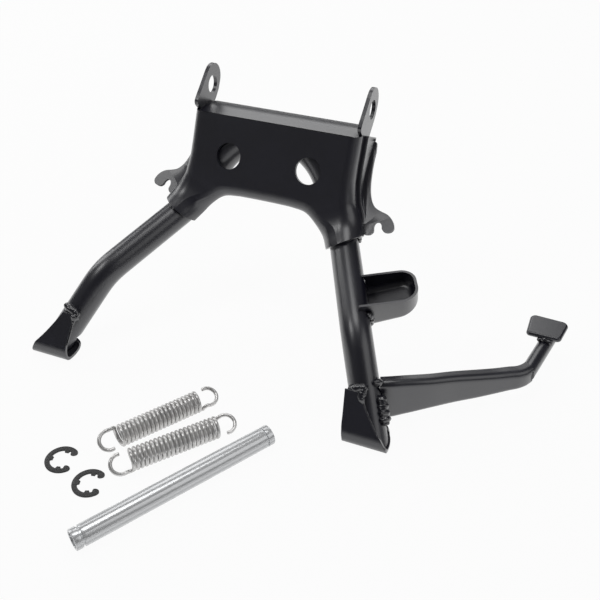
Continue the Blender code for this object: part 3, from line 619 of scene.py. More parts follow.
# The ear's outline, as depth and height
EAR = [(9.8, 26), (9.2, 35.0), (4.6, 36.8), (1.6, 38.6), (0.4, 41), (1.6, 45), (5, 52), (9.4, 61.5), (12.0, 67.2)]
EAR_CENTRE, EAR_RADIUS = vec(25, 63), 13.4
ear_turns = np.radians(range(150, -7, -6))
ear_top = EAR_CENTRE + EAR_RADIUS * np.stack([np.cos(ear_turns), np.sin(ear_turns)], 1)
ear_back = [(37.9, 55.5), (36.0, 49.5), (33.4, 44), (30.9, 39), (29.4, 35), (28.8, 26)]
ear_front = smoothed([(d, s, 0) for d, s in EAR[1:]], 4)[:, :2]
ear_rear = smoothed([(d, s, 0) for d, s in ear_back[:-1]], 4)[:, :2]
ear_outline = joined([[EAR[0]], ear_front, ear_top, ear_rear, [ear_back[-1]]]) - (PIVOT_D, PIVOT_S)
ear_thick = CROWN_SHEET - 0.2 * MM
ear_middle = HALF_WIDTH - 0.1 * MM - ear_thick / 2
for side in (1, -1):
    ear = plate("ear", ear_outline * MM, ear_thick, SIDE * (side * ear_middle), BACK, UP, SIDE)
    combined(crown_shell, ear, "UNION")
PANEL_HOLE_AT = (37, -0.5)
for side in (1, -1):
    at = SIDE * (side * ear_middle)
    combined(crown_shell, cylinder("bore", at - SIDE * 5 * MM, at + SIDE * 5 * MM, PIVOT_HOLE, 64))
    at = crown(side * PANEL_HOLE_AT[0], PANEL_HOLE_AT[1], 0)
    combined(crown_shell, cylinder("bore", at - BACK * 3 * MM, at + BACK * 7 * MM, PANEL_HOLE, 72))
edged(crown_shell, 0.00045, 40)
shown(crown_shell, "satin_black", "crown_shell")


# Crown back plate

CAP_BEND = 6.0
back_depth = tube_depth + TUBE / MM + CAP_BEND
cap_turns = np.radians([60, 50, 40, 30, 20, 10, 0])
cap_d = joined([
    [5.1, 9.5, 16, 22, 26], back_depth - CAP_BEND + CAP_BEND * np.cos(cap_turns), [back_depth] * 3,
])
cap_s = joined([[32.2, 34.8, 38.6, 41.0, 42.0], 37.5 + CAP_BEND * np.sin(cap_turns), [34, 28, 22]])
cap_across = joined([np.linspace(0, 0.86, 10), np.linspace(0.88, 1, 13)])
cap_drop = np.interp(cap_across, [0, 0.9, 0.95, 0.98, 1.0], [0, 0, 0, 0.4, 1.2])
cap_half = 69.5 + 3.3 * np.clip((cap_d - 4.4) / 5, 0, 1)
fade = np.clip((cap_d - 4.4) / 6, 0, 1) * np.clip((cap_s - 21) / 14, 0.1, 1)
cap_heights = cap_s[:, None] - cap_drop[None] * fade[:, None]
half_cap = crown(cap_half[:, None] * cap_across[None], cap_heights, cap_d[:, None])
cap_rows = joined([mirrored(half_cap)[:, :0:-1], half_cap], 1)
back_plate = thick_sheet("crown_back", smoothed(cap_rows, 3), PLATE, 0)
edged(back_plate, 0.0005)
shown(back_plate, "satin_black", "crown_back_plate")


# Hook plates

wall_points = smoothed(np.array([w[0] for w in walls]), ROW_PARTS)
wall_across = unit(smoothed(np.array([w[1] for w in walls]), ROW_PARTS))
wall_back = unit(smoothed(np.array([w[2] for w in walls]), ROW_PARTS))
wall_depth = np.interp(np.arange(len(wall_points)) / ROW_PARTS, np.arange(len(walls)), [w[3] for w in walls])[:, None]


def wall_solid(name, side, inner, outer, fronts, rears, last):
    """A solid lying along the side wall, between two distances from its outer face."""
    count = last * ROW_PARTS + 1
    at = np.arange(count) / ROW_PARTS
    front = np.interp(at, np.arange(len(fronts)), fronts)[:, None] * MM
    rear = wall_depth[:count] + np.interp(at, np.arange(len(rears)), rears)[:, None] * MM
    wall, across, back = wall_points[:count], wall_across[:count], wall_back[:count]
    rings = np.stack([
        wall + across * inner + back * front, wall + across * outer + back * front,
        wall + across * outer + back * rear, wall + across * inner + back * rear,
    ], 1)
    return solid_grid(name, mirrored(rings) if side < 0 else rings)


hook_origin = crown(0, 0, hook_depth(0))
hook_along = unit(crown(0, 30, hook_depth(30)) - hook_origin)
hook_normal = facing(np.cross(SIDE, hook_along), BACK)
STRETCH = math.hypot(1, HOOK_SLOPE)
HOOK_STRAIGHT = [(72.5, 5), (72.5, 33), (79.0, 33)]
HOOK_CURVED = [
    (81.6, 31.8), (82.2, 29.5), (83.2, 15), (84.4, 4), (86.0, -5), (88.2, -12.0), (90.8, -17), (95.0, -21.3),
    (100.5, -23.4), (106.5, -25.0), (111.5, -28.4), (114.2, -32.4), (114.9, -35.6), (113.6, -38.0), (110.4, -39.4),
    (107.2, -39.2), (105.0, -37.4), (104.0, -34.6), (101.4, -32.4), (98.8, -33.2), (97.8, -36.0), (98.4, -41.0),
    (96.6, -43.4), (92.5, -44.6),
]
HOOK_INNER = [(87, -44.6), (80.5, -30), (76.5, -20), (73.5, -8)]
curved = smoothed([(x, s, 0) for x, s in HOOK_CURVED], 5)[:, :2]
hook_outline = joined([HOOK_STRAIGHT, curved, HOOK_INNER]) * (MM, MM * STRETCH)
BAND_REAR = 0.6
BAND_SUNK = 1.0 * MM
BAND_ROWS = 12
BAND_FRONTS = [6.0] * 6 + [5.8, 5.6, 5.4, 5.2, 4.8, 4.4, 4.0]
for side, word in ((1, "right"), (-1, "left")):
    flange_at = hook_origin + hook_normal * (PLATE / 2)
    flange = plate("flange", hook_outline * (side, 1), PLATE, flange_at, SIDE, hook_along, hook_normal)
    combined(flange, wall_solid("fat_wall", side, -9 * MM, GAP, [-9], [14], BAND_ROWS + 1))
    hook = wall_solid("hook_" + word, side, -BAND_SUNK, GAP + PLATE, BAND_FRONTS, [BAND_REAR], BAND_ROWS)
    combined(hook, flange, "UNION")
    combined(hook, fat_tube())
    edged(hook, 0.0004, 40)
    shown(hook, "satin_black", "hook_plate_" + word)


# Feet

foot_up = facing(np.cross(shin, SIDE), HIGH)
foot_down = facing(np.cross(SIDE, foot_up), -HIGH)
shin_out = facing(np.cross(shin, foot_up), SIDE)
FOOT_PART = 0.755
axis_here = kink + (shin_end - kink) * FOOT_PART
flap_start = axis_here + foot_up * (TUBE + GAP + PLATE)
# Down the flap: distance, and where its inner and outer edges lie. Round the curl: y, z and the same edges
FLAP = ((0, 124.8, 136.0), (10, 125.4, 142.0), (20, 126.0, 148.5), (28, 126.2, 154.5), (31, 126.0, 157.0))
CURL = (
    (-1.6, 9.8, 125.8, 159.2), (-2.2, 6.4, 125.6, 160.6), (-1.2, 3.2, 125.6, 161.3), (1.6, 0.9, 125.6, 161.5),
    (6.0, 0.0, 125.6, 161.5), (14.0, 0.0, 125.8, 160.4), (19.0, 1.2, 126.2, 158.6), (22.2, 4.0, 127.2, 157.0),
    (22.8, 7.2, 129.5, 155.4), (21.8, 10.0, 134.0, 152.5),
)
flap_points = np.array([flap_start + foot_down * (along * MM) for along, _, _ in FLAP])
curl_y = (flap_points[-1][1] + PIVOT_BEHIND * MM) / MM - 0.1
curl_points = np.array([low(0, y + curl_y, z) for y, z, _, _ in CURL])
foot_points = joined([flap_points, curl_points])
foot_edges = np.array([row[1:] for row in FLAP] + [row[2:] for row in CURL])
foot_lean = np.maximum(0, 1 - np.arange(len(foot_points)) / 6)


def foot_grid(side, lean):
    """The foot's middle line, carried sideways between its two edges, which lean inwards at the top."""
    edges = foot_edges - foot_lean[:, None] * lean
    parts = np.linspace(0, 1, 7)
    x = (edges[:, :1] + (edges[:, 1:] - edges[:, :1]) * parts) * MM * side
    rows = np.empty((*x.shape, 3))
    rows[..., 0] = x
    rows[..., 1:] = foot_points[:, None, 1:]
    return smoothed(rows, 7)


FEET = ((1, "right", 5.0), (-1, "left", -1.0))
for side, word, lean in FEET:
    foot = thick_sheet("foot_" + word, foot_grid(side, lean), PLATE, 1 if side > 0 else -1)
    edged(foot, 0.0005)
    shown(foot, "satin_black", "foot_plate_" + word)

inner_line = smoothed(foot_points[4:], 5)
going = unit(np.gradient(inner_line, axis=0))
inner_line = inner_line + np.stack([0 * going[:, 0], -going[:, 2], going[:, 1]], 1) * (PLATE + 1.5 * GAP)
over_curl = foot_points[-1][2] + 2.5 * MM
ROOM_FRONT, ROOM_BACK, ROOM_FLOOR = -0.3, -0.1, FLOOR - 0.04
room = [(ROOM_FRONT, ROOM_FLOOR), (ROOM_FRONT, inner_line[0][2])]
room += [(y, z) for _, y, z in inner_line]
room += [(inner_line[-1][1], over_curl), (ROOM_BACK, over_curl), (ROOM_BACK, ROOM_FLOOR)]
curl_room = plate("curl_room", room, 0.6, vec(0, 0, 0), vec(0, 1, 0), HIGH, SIDE)
combined(leg_tube, curl_room)
edged(leg_tube, 0.0003, 50, 1)
shown(leg_tube, "satin_black", "leg_tube")


# Stop tongue

TONGUE_PART = 0.68
TONGUE_LIFT = math.radians(8)
tongue_at = bend_at + (kink - bend_at) * TONGUE_PART
tongue_out = unit(vec(0.89, 0.456, 0))
tongue_out = unit(tongue_out - thigh * (tongue_out @ thigh))
tongue_up = unit(np.cross(thigh, tongue_out))
tongue_out, tongue_up = (
    tongue_out * math.cos(TONGUE_LIFT) + tongue_up * math.sin(TONGUE_LIFT),
    tongue_up * math.cos(TONGUE_LIFT) - tongue_out * math.sin(TONGUE_LIFT),
)
TONGUE_HALF = 0.0182
TONGUE_HEIGHT = 0.0231
TONGUE_ROUND = 0.007
TONGUE_SHEET = 0.0022
RIM_SLOPE = 0.25
RIM_ABOVE = 0.25 * MM
tongue_end = TUBE + 0.0405


def tongue_outline(inset):
    reach, half = tongue_end - inset, TONGUE_HALF - inset
    corners = [(2 * MM, -half), (reach, -half), (reach, half), (2 * MM, half)]
    return rounded(corners, [0, 15.5 * MM - inset, 12.5 * MM - inset, 0], 14)


def rounded_block(name, shrink, round_by):
    """A block whose outline draws in by r (1 - cos a) as its height nears the end by r (1 - sin a)."""
    centre = tongue_at + tongue_up * (TONGUE_HEIGHT / 2)
    tall = TONGUE_HEIGHT - shrink
    rings = []
    for a in np.radians(joined([np.arange(-90, 1, 10), np.arange(0, 91, 10)])):
        outline = tongue_outline(shrink + round_by * (1 - math.cos(a)))
        height = (tall - round_by) * (1 if a > 0 or len(rings) >= 10 else -1) + round_by * math.sin(a)
        rings.append(centre + outline[:, :1] * tongue_out - outline[:, 1:] * thigh + tongue_up * height)
    return solid_grid(name, np.array(rings))


def taper_depth(obj):
    """Makes the cup shallower outwards: depth under the rim times 1.25 at the tube, falling to 0.78 at the end."""
    mesh = obj.data
    points = points_of(mesh)
    from_tube = points - tongue_at
    rim = TONGUE_HEIGHT / 2 + RIM_ABOVE + RIM_SLOPE * (from_tube @ thigh)
    depth = rim - from_tube @ tongue_up
    scale = np.interp(from_tube @ tongue_out, (TUBE, tongue_end), (1.25, 0.78))
    points = points + tongue_up * (depth * (1 - scale))[:, None]
    mesh.vertices.foreach_set("co", points.ravel())
    mesh.update()


tongue = rounded_block("tongue", 0.0, TONGUE_ROUND)
pocket = rounded_block("pocket", TONGUE_SHEET, TONGUE_ROUND - TONGUE_SHEET)
combined(tongue, pocket, solver="MANIFOLD")
TRIM_THICK = 0.06
trim_up = unit(tongue_up - thigh * RIM_SLOPE)
trim_along = unit(thigh + tongue_up * RIM_SLOPE)
trim_at = tongue_at + tongue_up * (TONGUE_HEIGHT / 2 + RIM_ABOVE) + trim_up * (TRIM_THICK / 2)
trim = np.array([(-40, -60), (90, -60), (90, 60), (-40, 60)]) * MM
combined(tongue, plate("trim", trim, TRIM_THICK, trim_at, tongue_out, -trim_along, trim_up), solver="MANIFOLD")
root = np.array([(-60, -60), (4.5, -60), (4.5, 60), (-60, 60)]) * MM
combined(tongue, plate("root", root, 0.12, tongue_at, tongue_out, -thigh, tongue_up), solver="MANIFOLD")
taper_depth(tongue)
combined(tongue, fat_tube(), solver="MANIFOLD")
edged(tongue, 0.0006, 40)
shown(tongue, "satin_black", "stop_tongue")


# Tread arm, rod and pad

# Along the arm's face: x and y, the heights of its two edges, the depth of its flanges
STATIONS = (
    (144.5, 31.5, 2.0, 40.0, 9), (149, 33, 2.0, 40.5, 9), (165, 41.6, 4.5, 40.2, 9), (180, 51, 7.0, 38.6, 9.2),
    (198, 65, 7.6, 35.6, 9.4), (215, 77, 8.2, 32.8, 9.6), (228, 86, 9.4, 31.0, 9.8), (237, 92.0, 10.6, 30.4, 10),
    (243.2, 96.0, 11.2, 30.0, 10), (248.2, 101.0, 11.6, 29.9, 10), (251.6, 106.5, 12.0, 29.9, 10),
)
ARM_CORNER = 5 * MM
arm_turns = np.linspace(0, 90, 9)
arm_rows = []
for index, (x, y, bottom, top, deep) in enumerate(STATIONS):
    before, after = STATIONS[max(index - 1, 0)], STATIONS[min(index + 1, len(STATIONS) - 1)]
    going = unit(vec(after[0] - before[0], after[1] - before[1], 0))
    backwards = vec(-going[1], going[0], 0)
    here = low(x, y, 0)
    upper, lower = here + HIGH * (top * MM), here + HIGH * (bottom * MM)
    r = ARM_CORNER
    web_start, web_end = upper - HIGH * r, lower + HIGH * r
    flange_parts = np.linspace(1, 0, 5)[:-1, None]
    arm_rows.append(joined([
        upper + backwards * (r + (deep * MM - r) * flange_parts),
        turned(upper + backwards * r - HIGH * r, HIGH, -backwards, r, arm_turns),
        web_start + (web_end - web_start) * np.linspace(0, 1, 8)[1:-1, None],
        turned(lower + backwards * r + HIGH * r, -backwards, -HIGH, r, arm_turns),
        lower + backwards * (r + (deep * MM - r) * flange_parts[::-1]),
    ]))
arm = thick_sheet("tread_channel", smoothed(arm_rows, 8), PLATE, -1)
ROD_HEIGHT = 22
rod_start, rod_end = low(246.2, 106, ROD_HEIGHT), low(256.4, 158, ROD_HEIGHT)
rod_along = unit(rod_end - rod_start)
combined(arm, fat_tube())
combined(arm, cylinder("fat_rod", rod_start - rod_along * GAP, rod_end, ROD + GAP, 48))
edged(arm, 0.0006, 40)
shown(arm, "satin_black", "tread_arm")
rod_steps = rod_start + (rod_end - rod_start) * np.linspace(0, 1, 24)[:, None]
rod = solid_grid("tread_bar", tube_rings(rod_steps, ROD, 40, HIGH[None]))
edged(rod, 0.0005)
shown(rod, "satin_black", "tread_rod")

PAD = [(237.4, 146.4), (266.0, 146.0), (270.6, 172.4), (237.6, 174.0)]
PAD_THICK = 0.0046
pad_outline = rounded(np.array(PAD) * MM, [3.4 * MM, 4.2 * MM, 5.5 * MM, 5.0 * MM], 12)
pad_low = low(0, 0, ROD_HEIGHT + (ROD + GAP) / MM + 0.3)
pad = plate("tread_plate", pad_outline, PAD_THICK, pad_low + HIGH * (PAD_THICK / 2), SIDE, vec(0, 1, 0), HIGH)
edged(pad, 0.00226, 40, 8)
shown(pad, "satin_black", "tread_pad")


# Pivot tube

def lathe_grid(profile, turns):
    """Rings of a turned piece about +X: (x, r cos a, r sin a) for each (x, r) of the profile."""
    profile = np.asarray(profile)
    a = np.arange(turns) * 2 * np.pi / turns
    x = np.repeat(profile[:, :1], turns, 1)
    return np.stack([x, profile[:, 1:] * np.cos(a), profile[:, 1:] * np.sin(a)], -1)


def mapped(mesh, places):
    """Writes the map that the plating follows, from a place for each point of the mesh."""
    corners = np.empty(len(mesh.loops), np.int32)
    mesh.loops.foreach_get("vertex_index", corners)
    layer = mesh.uv_layers.new(name="along")
    layer.data.foreach_set("uv", places[corners].ravel())


def along_map(obj, origin, along, around, length):
    """A map that follows the piece: one way by the distance along it, the other by the turn round it."""
    points = points_of(obj.data) - origin
    aside = np.cross(along, around)
    u = points @ along / length
    v = np.abs(np.arctan2(points @ aside, points @ around)) / np.pi
    mapped(obj.data, np.stack([u, v], 1))


tube_near = low(-11.0, -158.3, PIVOT_RADIUS / MM)
tube_far = low(73.4, -20.1, PIVOT_RADIUS / MM)
pivot_along = unit(tube_far - tube_near)
pivot_middle = (tube_far + tube_near) / 2
PIVOT_HALF = 0.081
PIVOT_BORE = 0.006
groove_in, groove_out, groove_low = 0.005, 0.0068, PIVOT_RADIUS - 0.001


def worn_corner(x, r, dx, dr):
    """A small round in place of a corner of the profile, from (x + dx, r) to (x, r + dr)."""
    t = np.linspace(0, 1, 4)[:, None]
    a, b, c = vec(x + dx, r), vec(x, r), vec(x, r + dr)
    return (1 - t) ** 2 * a + 2 * t * (1 - t) * b + t ** 2 * c


END_PLAIN = 0.009
MIDDLE_RINGS = 12
fine = 0.12 * MM
end_profile = joined([
    worn_corner(-PIVOT_HALF, PIVOT_BORE, 0.3 * MM, 0.3 * MM),
    worn_corner(-PIVOT_HALF, PIVOT_RADIUS, 0.5 * MM, -0.5 * MM)[::-1],
    worn_corner(-PIVOT_HALF + groove_in, PIVOT_RADIUS, -fine, -fine),
    [(-PIVOT_HALF + groove_in, groove_low), (-PIVOT_HALF + groove_out, groove_low)],
    worn_corner(-PIVOT_HALF + groove_out, PIVOT_RADIUS, fine, -fine)[::-1],
])
middle_x = np.linspace(-PIVOT_HALF + END_PLAIN, PIVOT_HALF - END_PLAIN, MIDDLE_RINGS)
pivot_profile = joined([
    end_profile, np.stack([middle_x, np.full_like(middle_x, PIVOT_RADIUS)], 1), (end_profile * (-1, 1))[::-1],
])
grid = lathe_grid(pivot_profile, 72)
turned_side = unit(np.cross(HIGH, pivot_along))
axes = np.stack([pivot_along, turned_side, HIGH])
grid = grid @ axes + pivot_middle
pivot_tube = solid_grid("pivot_sleeve", grid, closed_rows=True)
along_map(pivot_tube, pivot_middle, pivot_along, HIGH, 2 * PIVOT_HALF)
pivot_tube.data.set_sharp_from_angle(angle=math.radians(30))
shown(pivot_tube, "bright_zinc", "pivot_tube")


# Retaining clips

CLIP_OUTER = 0.013
CLIP_BAND = 0.0091
CLIP_TIP = 0.00715
CLIP_THICK = 0.0015
CLIP_FIRST, CLIP_LAST = 36, 324
CLIP_PRONGS = (86, 180, 274)
PRONG_HALF = 9


def clip_rings():
    """Rings round the clip's band: its inner edge bulges in at three prongs and two horns, and its ends are round."""
    angle = np.linspace(CLIP_FIRST, CLIP_LAST, 241)
    inner = np.full_like(angle, CLIP_BAND)
    for middle in CLIP_PRONGS:
        prong = np.clip((PRONG_HALF + 4 - np.abs(angle - middle)) / 3, 0, 1)
        inner = np.minimum(inner, CLIP_BAND - (CLIP_BAND - CLIP_TIP) * prong)
    horn = np.maximum(np.clip((62 - angle) / 10, 0, 1), np.clip((angle - 298) / 10, 0, 1))
    inner = np.minimum(inner, CLIP_BAND - (CLIP_BAND - CLIP_TIP) * horn ** 0.5)
    outer = np.full_like(angle, CLIP_OUTER)
    from_end = np.minimum(angle - CLIP_FIRST, CLIP_LAST - angle)
    close = np.sqrt(np.clip(1 - (1 - np.clip(from_end / 15, 0, 1)) ** 2, 0.0004, 1))
    middle = (inner + outer) / 2 + (1 - close) * 0.0004
    inner, outer = middle + (inner - middle) * close, middle + (outer - middle) * close
    outer = np.minimum(outer, CLIP_OUTER)
    edge, half = 0.00025, CLIP_THICK / 2
    across = [(0, edge), (0, 0), (0, 0), (0, edge), (1, -edge), (1, 0), (1, 0), (1, -edge)]
    heights = [half, half - edge, edge - half, -half, -half, edge - half, half - edge, half]
    a = np.radians(angle)
    rings = []
    for (which, push), height in zip(across, heights):
        r = (outer if which else inner) + push * close
        rings.append(np.stack([r * np.cos(a), r * np.sin(a), np.full_like(a, height)], 1))
    return np.stack(rings, 1)


for word, x, y, turn in (("a", -64.5, -96.0, 12), ("b", -32.5, -107.5, 18)):
    c, s = math.cos(math.radians(turn)), math.sin(math.radians(turn))
    placed = clip_rings() @ np.array([(c, s, 0), (-s, c, 0), (0, 0, 1.0)]) + low(x, y, CLIP_THICK / 2 / MM)
    clip = solid_grid("clip_" + word, placed)
    clip.data.set_sharp_from_angle(angle=math.radians(50))
    shown(clip, "clip_steel", "circlip_" + word)


# Springs

WIRE = 0.0015
COIL = 0.0075
COILS = 20.5
PITCH = 0.0034
TURN_STEPS = 28
WIRE_SIDES = 14
RINGS_A_MAP = 40
HOOK_TURN, HOOK_REACH, HOOK_BOW = 3.2 * MM, 7.6 * MM, 7.5 * MM


def spring_rings():
    """Wire round a coil x = pitch t, (r sin a, r cos a), and round the open hooks at its ends."""
    length = COILS * PITCH
    t = np.linspace(0, 1, int(COILS * TURN_STEPS) + 1)
    a = 2 * np.pi * COILS * t
    coil = np.stack([length * (t - 0.5), COIL * np.sin(a), COIL * np.cos(a)], 1)
    a = np.radians([30, 60, 90])
    share = a / (np.pi / 2)
    out = HOOK_TURN * (1 - np.cos(a)) + 0.4 * MM * share
    leave = np.stack([out, HOOK_TURN * np.sin(a), COIL - 0.45 * MM * share], 1)
    straight = vec(HOOK_REACH * 0.6, leave[-1][1] * 0.7, COIL - 0.3 * MM)[None]
    b = np.arange(90, -126, -24)
    fade = 0.5 * np.maximum(0, (b + 30) / 120)
    b = np.radians(b)
    loop = np.stack([
        HOOK_REACH + HOOK_BOW * np.cos(b), leave[-1][1] * fade, COIL - HOOK_BOW + HOOK_BOW * np.sin(b),
    ], 1)
    hook = joined([[(0, 0, COIL)], leave, straight, loop])
    hook = smoothed(hook, 7)[1:]
    end = hook * (1, -1, -1) + vec(length / 2, 0, 0)
    start = (hook * (-1, -1, 1) - vec(length / 2, 0, 0))[::-1]
    path = joined([start, coil, end])
    along = unit(np.gradient(path, axis=0))
    n = joined([0 * start, coil * (0, 1, 1), 0 * end])
    b = joined([np.tile(vec(0, -1, 0), (len(start), 1)), 0 * coil, np.tile(vec(0, 1, 0), (len(end), 1))])
    first, last = len(start), len(start) + len(coil)
    wound = slice(first, last)
    n[wound] = squared(n[wound], along[wound])
    b[wound] = np.cross(along[wound], n[wound])
    for part in (slice(0, first), slice(last, None)):
        b[part] = squared(b[part], along[part])
        n[part] = np.cross(b[part], along[part])
    a = np.arange(WIRE_SIDES) * 2 * np.pi / WIRE_SIDES
    radius = np.full(len(path), WIRE)
    radius[[0, -1]] *= 0.8
    turned_wire = n[:, None] * np.cos(a)[:, None] + b[:, None] * np.sin(a)[:, None]
    return path[:, None] + turned_wire * radius[:, None, None]


def ring_map(obj, rows, columns):
    """A map that follows the wire: one way by the ring's number, the other by the place on the ring."""
    point = np.arange(rows * columns)
    mapped(obj.data, np.stack([point // columns / RINGS_A_MAP, point % columns / columns], 1))


SPRING_HEIGHT = 9.0
for word, start, end, roll in (
    ("a", (-41.5, -79.2), (15.5, 4.7), 300),
    ("b", (-21.6, -95.4), (42.8, -17.0), 120),
):
    first, last = low(*start, SPRING_HEIGHT), low(*end, SPRING_HEIGHT)
    along = unit(last - first)
    aside = np.cross(HIGH, along)
    c, s = math.cos(math.radians(roll)), math.sin(math.radians(roll))
    axes = np.stack([along, aside * c + HIGH * s, HIGH * c - aside * s])
    rings = spring_rings() @ axes + (first + last) / 2
    spring = solid_grid("coil_" + word, rings)
    ring_map(spring, *rings.shape[:2])
    shown(spring, "spring_zinc", "spring_" + word)


# Weld beads

BEAD = 2.9 * MM
BEAD_SIDES = 20
DROP_PITCH = 4.6 * MM


def bead(name, path, radius, seed, node, slim=(1, 1)):
    """A weld: a bar along the path whose radius rises and falls with each drop, with a little unevenness.

    r = r0 (0.82 + 0.18 |cos p|^0.6 + 0.08 sin(1.7 p + seed)) (1 + 0.05 sin(2 a + 1.1 p) + 0.03 sin(3 a - 1.3 p)),
    where p = pi s / pitch + seed. Both ends are rounded off, and past the share slim[1] of its length the bead
    slims to slim[0] of its radius.
    """
    path = evened(smoothed(path, 8), radius * 0.12)
    s = joined([[0], np.cumsum(np.linalg.norm(np.diff(path, axis=0), axis=1))])
    phase = np.pi * s / DROP_PITCH + seed
    size = 0.82 + 0.18 * np.abs(np.cos(phase)) ** 0.6 + 0.08 * np.sin(1.7 * phase + seed)
    end = np.minimum(s, s[-1] - s) / (radius * 0.9)
    size = size * np.sqrt(np.clip(1 - (1 - np.clip(end, 0, 1)) ** 2, 0.01, 1))
    size = size * np.interp(s / s[-1], (0, slim[1], min(slim[1] + 0.12, 1.01), 1.02), (1, 1, slim[0], slim[0]))
    rings = tube_rings(path, 1.0, BEAD_SIDES, weld_reference(path))
    around = np.arange(BEAD_SIDES) * 2 * np.pi / BEAD_SIDES
    p = phase[:, None]
    uneven = 1 + 0.05 * np.sin(2 * around[None] + 1.1 * p) + 0.03 * np.sin(3 * around[None] - 1.3 * p)
    offset = (rings - path[:, None]) * (size[:, None] * uneven * radius)[..., None]
    obj = solid_grid(name, path[:, None] + offset)
    shown(obj, "weld_black", node)


def weld_reference(path):
    along = unit(path[-1] - path[0])
    return (HIGH if abs(along[2]) < 0.7 else SIDE)[None]


def around_tube(centre, first, second, radius, start, stop, steps=10):
    return turned(centre, first, second, radius, np.linspace(start, stop, steps))


for side, word, lean in FEET:
    centre = axis_here - shin * (BEAD * 1.2)
    ring = around_tube(centre, foot_up, shin_out, TUBE + BEAD * 0.35, -26 - 4 * lean, 30 - 4 * lean, 12)
    ring = ring if side > 0 else mirrored(ring)[::-1]
    edge_line = foot_grid(side, lean)[1:22, 0 if side < 0 else -1] - foot_up * (PLATE * 0.5)
    weld_line = joined([ring, edge_line[2:]])
    bead("foot_bead_" + word, weld_line, BEAD * 1.2, 1.0 + side, "foot_weld_" + word, slim=(0.3, 0.42))
    centre, along, across, forward = bend_frame(0.81)
    ring = around_tube(centre, across, forward, TUBE + 1.5 * MM, -40, 40)
    ring = mirrored(ring) if side < 0 else ring
    bead("sleeve_bead_" + word, ring, BEAD * 0.5, 2.0 + side, "sleeve_weld_" + word)
for word, start, stop, angle in (("upper", -2, -9, 62), ("lower", 28, 4, 70)):
    t = np.linspace(start, stop, 8)[:, None] * MM
    turn = math.radians(angle)
    radial = foot_up * math.cos(turn) + shin_out * math.sin(turn)
    weld_line = axis_here + shin * t + radial * (TUBE + BEAD * 0.6)
    bead("arm_bead_" + word, weld_line, BEAD * 1.55, 3.0 + start, "arm_weld_" + word)
rod_front = rod_start + rod_along * ((low(0, 145.2, 0)[1] - rod_start[1]) / rod_along[1] + 0.9 * MM)
ring = around_tube(rod_front, HIGH, np.cross(rod_along, HIGH), ROD + 1.4 * MM, -54, 54)
bead("pad_bead", ring, BEAD * 0.72, 5.0, "pad_weld")
tongue_foot = tongue_at + thigh * (TONGUE_HALF + 2.6 * MM)
ring = around_tube(tongue_foot, tongue_out, tongue_up, TUBE + BEAD * 0.4, -38, 42)
bead("tongue_bead", ring, BEAD * 0.75, 6.0, "tongue_weld")


# Floor, lights and camera

PAPER_SEEN = 0.95
WORLD_LIGHT = 0.07


def mixed(tree, factor, first, second, target):
    """Leads two shaders, mixed by the factor, into the target socket."""
    blend = tree.nodes.new("ShaderNodeMixShader")
    for plug, socket in zip((factor, first, second), blend.inputs):
        tree.links.new(plug, socket)
    tree.links.new(blend.outputs[0], target)


def backdrop(name, colour):
    """Pale paper: the camera and reflections see it nearly white, faintly darkened where the object shades it."""
    made = Finish(name, colour, 0.0, 0.9)
    paths = made.tree.nodes.new("ShaderNodeLightPath")
    seen = Value(made, paths.outputs["Is Camera Ray"]) + Value(made, paths.outputs["Is Glossy Ray"])
    glow = made.tree.nodes.new("ShaderNodeEmission")
    glow.inputs["Color"].default_value = (1, 1, 1, 1)
    output = made.tree.nodes["Material Output"]
    share = (seen * PAPER_SEEN).socket
    mixed(made.tree, share, made.shader.outputs[0], glow.outputs[0], output.inputs["Surface"])
    return made.material


corner = np.array([(-4, -4, 0), (4, -4, 0), (4, 4, 0), (-4, 4, 0)]) + vec(0, 0, FLOOR - 0.0004)
ground = new_object("ground", corner, [(0, 1, 2, 3)])
ground.data.materials.append(backdrop("paper", (0.8, 0.8, 0.8)))

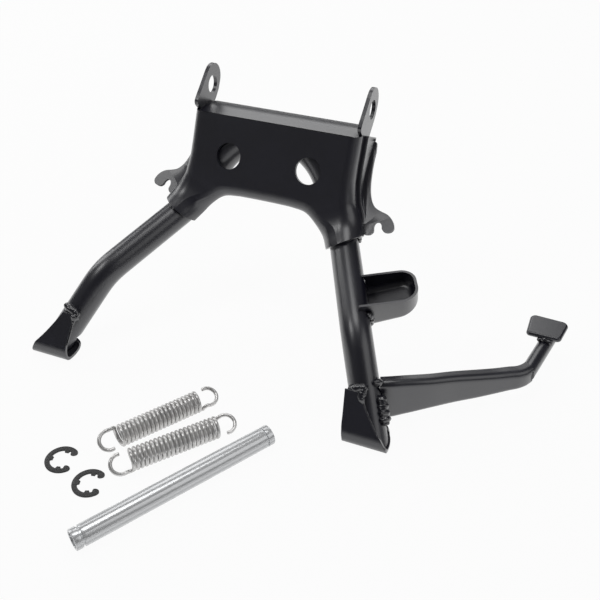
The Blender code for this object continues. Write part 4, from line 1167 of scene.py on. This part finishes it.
world = bpy.data.worlds.new("studio")
bpy.context.scene.world = world
world.use_nodes = True
nodes = world.node_tree.nodes
paths = nodes.new("ShaderNodeLightPath")
plain = nodes["Background"]
white = nodes.new("ShaderNodeBackground")
for shade, strength in ((plain, WORLD_LIGHT), (white, 1.0)):
    shade.inputs["Color"].default_value = (1, 1, 1, 1)
    shade.inputs["Strength"].default_value = strength
surface = nodes["World Output"].inputs["Surface"]
mixed(world.node_tree, paths.outputs["Is Camera Ray"], plain.outputs[0], white.outputs[0], surface)


def aim(obj, right, above, ahead, at):
    """Stands a lamp or camera at a place, looking ahead."""
    rows = [(*row, place) for row, place in zip(np.stack([right, above, -ahead], 1), at)]
    obj.matrix_world = Matrix([*rows, (0, 0, 0, 1)])


def softbox(name, at, wide, tall, power):
    """A lamp in a box of this size, turned to the stand."""
    data = bpy.data.lights.new(name, "AREA")
    data.shape = "RECTANGLE"
    data.size, data.size_y, data.energy = wide, tall, power
    lamp = bpy.data.objects.new(name, data)
    bpy.context.scene.collection.objects.link(lamp)
    ahead = unit(vec(*LIT) - vec(*at))
    right = unit(np.cross(ahead, HIGH + SIDE * 0.001))
    above = np.cross(right, ahead)
    aim(lamp, right, above, ahead, at)


LIT = (0, -0.1, -0.1)
softbox("behind", (-0.62, 1.4, 1.15), 1.9, 1.1, 11)
softbox("above", (0.0, 0.0, 1.7), 0.9, 0.7, 6)
softbox("high_left", (-0.95, -0.75, 1.35), 0.6, 0.5, 4.5)
softbox("right", (1.5, -0.25, 0.95), 1.3, 1.1, 4.5)
softbox("left", (-1.4, 0.3, 0.6), 0.5, 1.0, 4)

eye = bpy.data.cameras.new("view")
eye.lens = 48
eye.sensor_width = 36
eye.clip_start = 0.01
camera = bpy.data.objects.new("view", eye)
bpy.context.scene.collection.objects.link(camera)
ahead = vec(-0.297, 0.7402, -0.6032)
above = vec(-0.2246, 0.5598, 0.7976)
right = unit(np.cross(ahead, above))
above = np.cross(right, ahead)
aim(camera, right, above, unit(ahead), (0.2548, -0.6082, 0.2773))
bpy.context.scene.camera = camera
bpy.context.scene.view_settings.view_transform = "Standard"
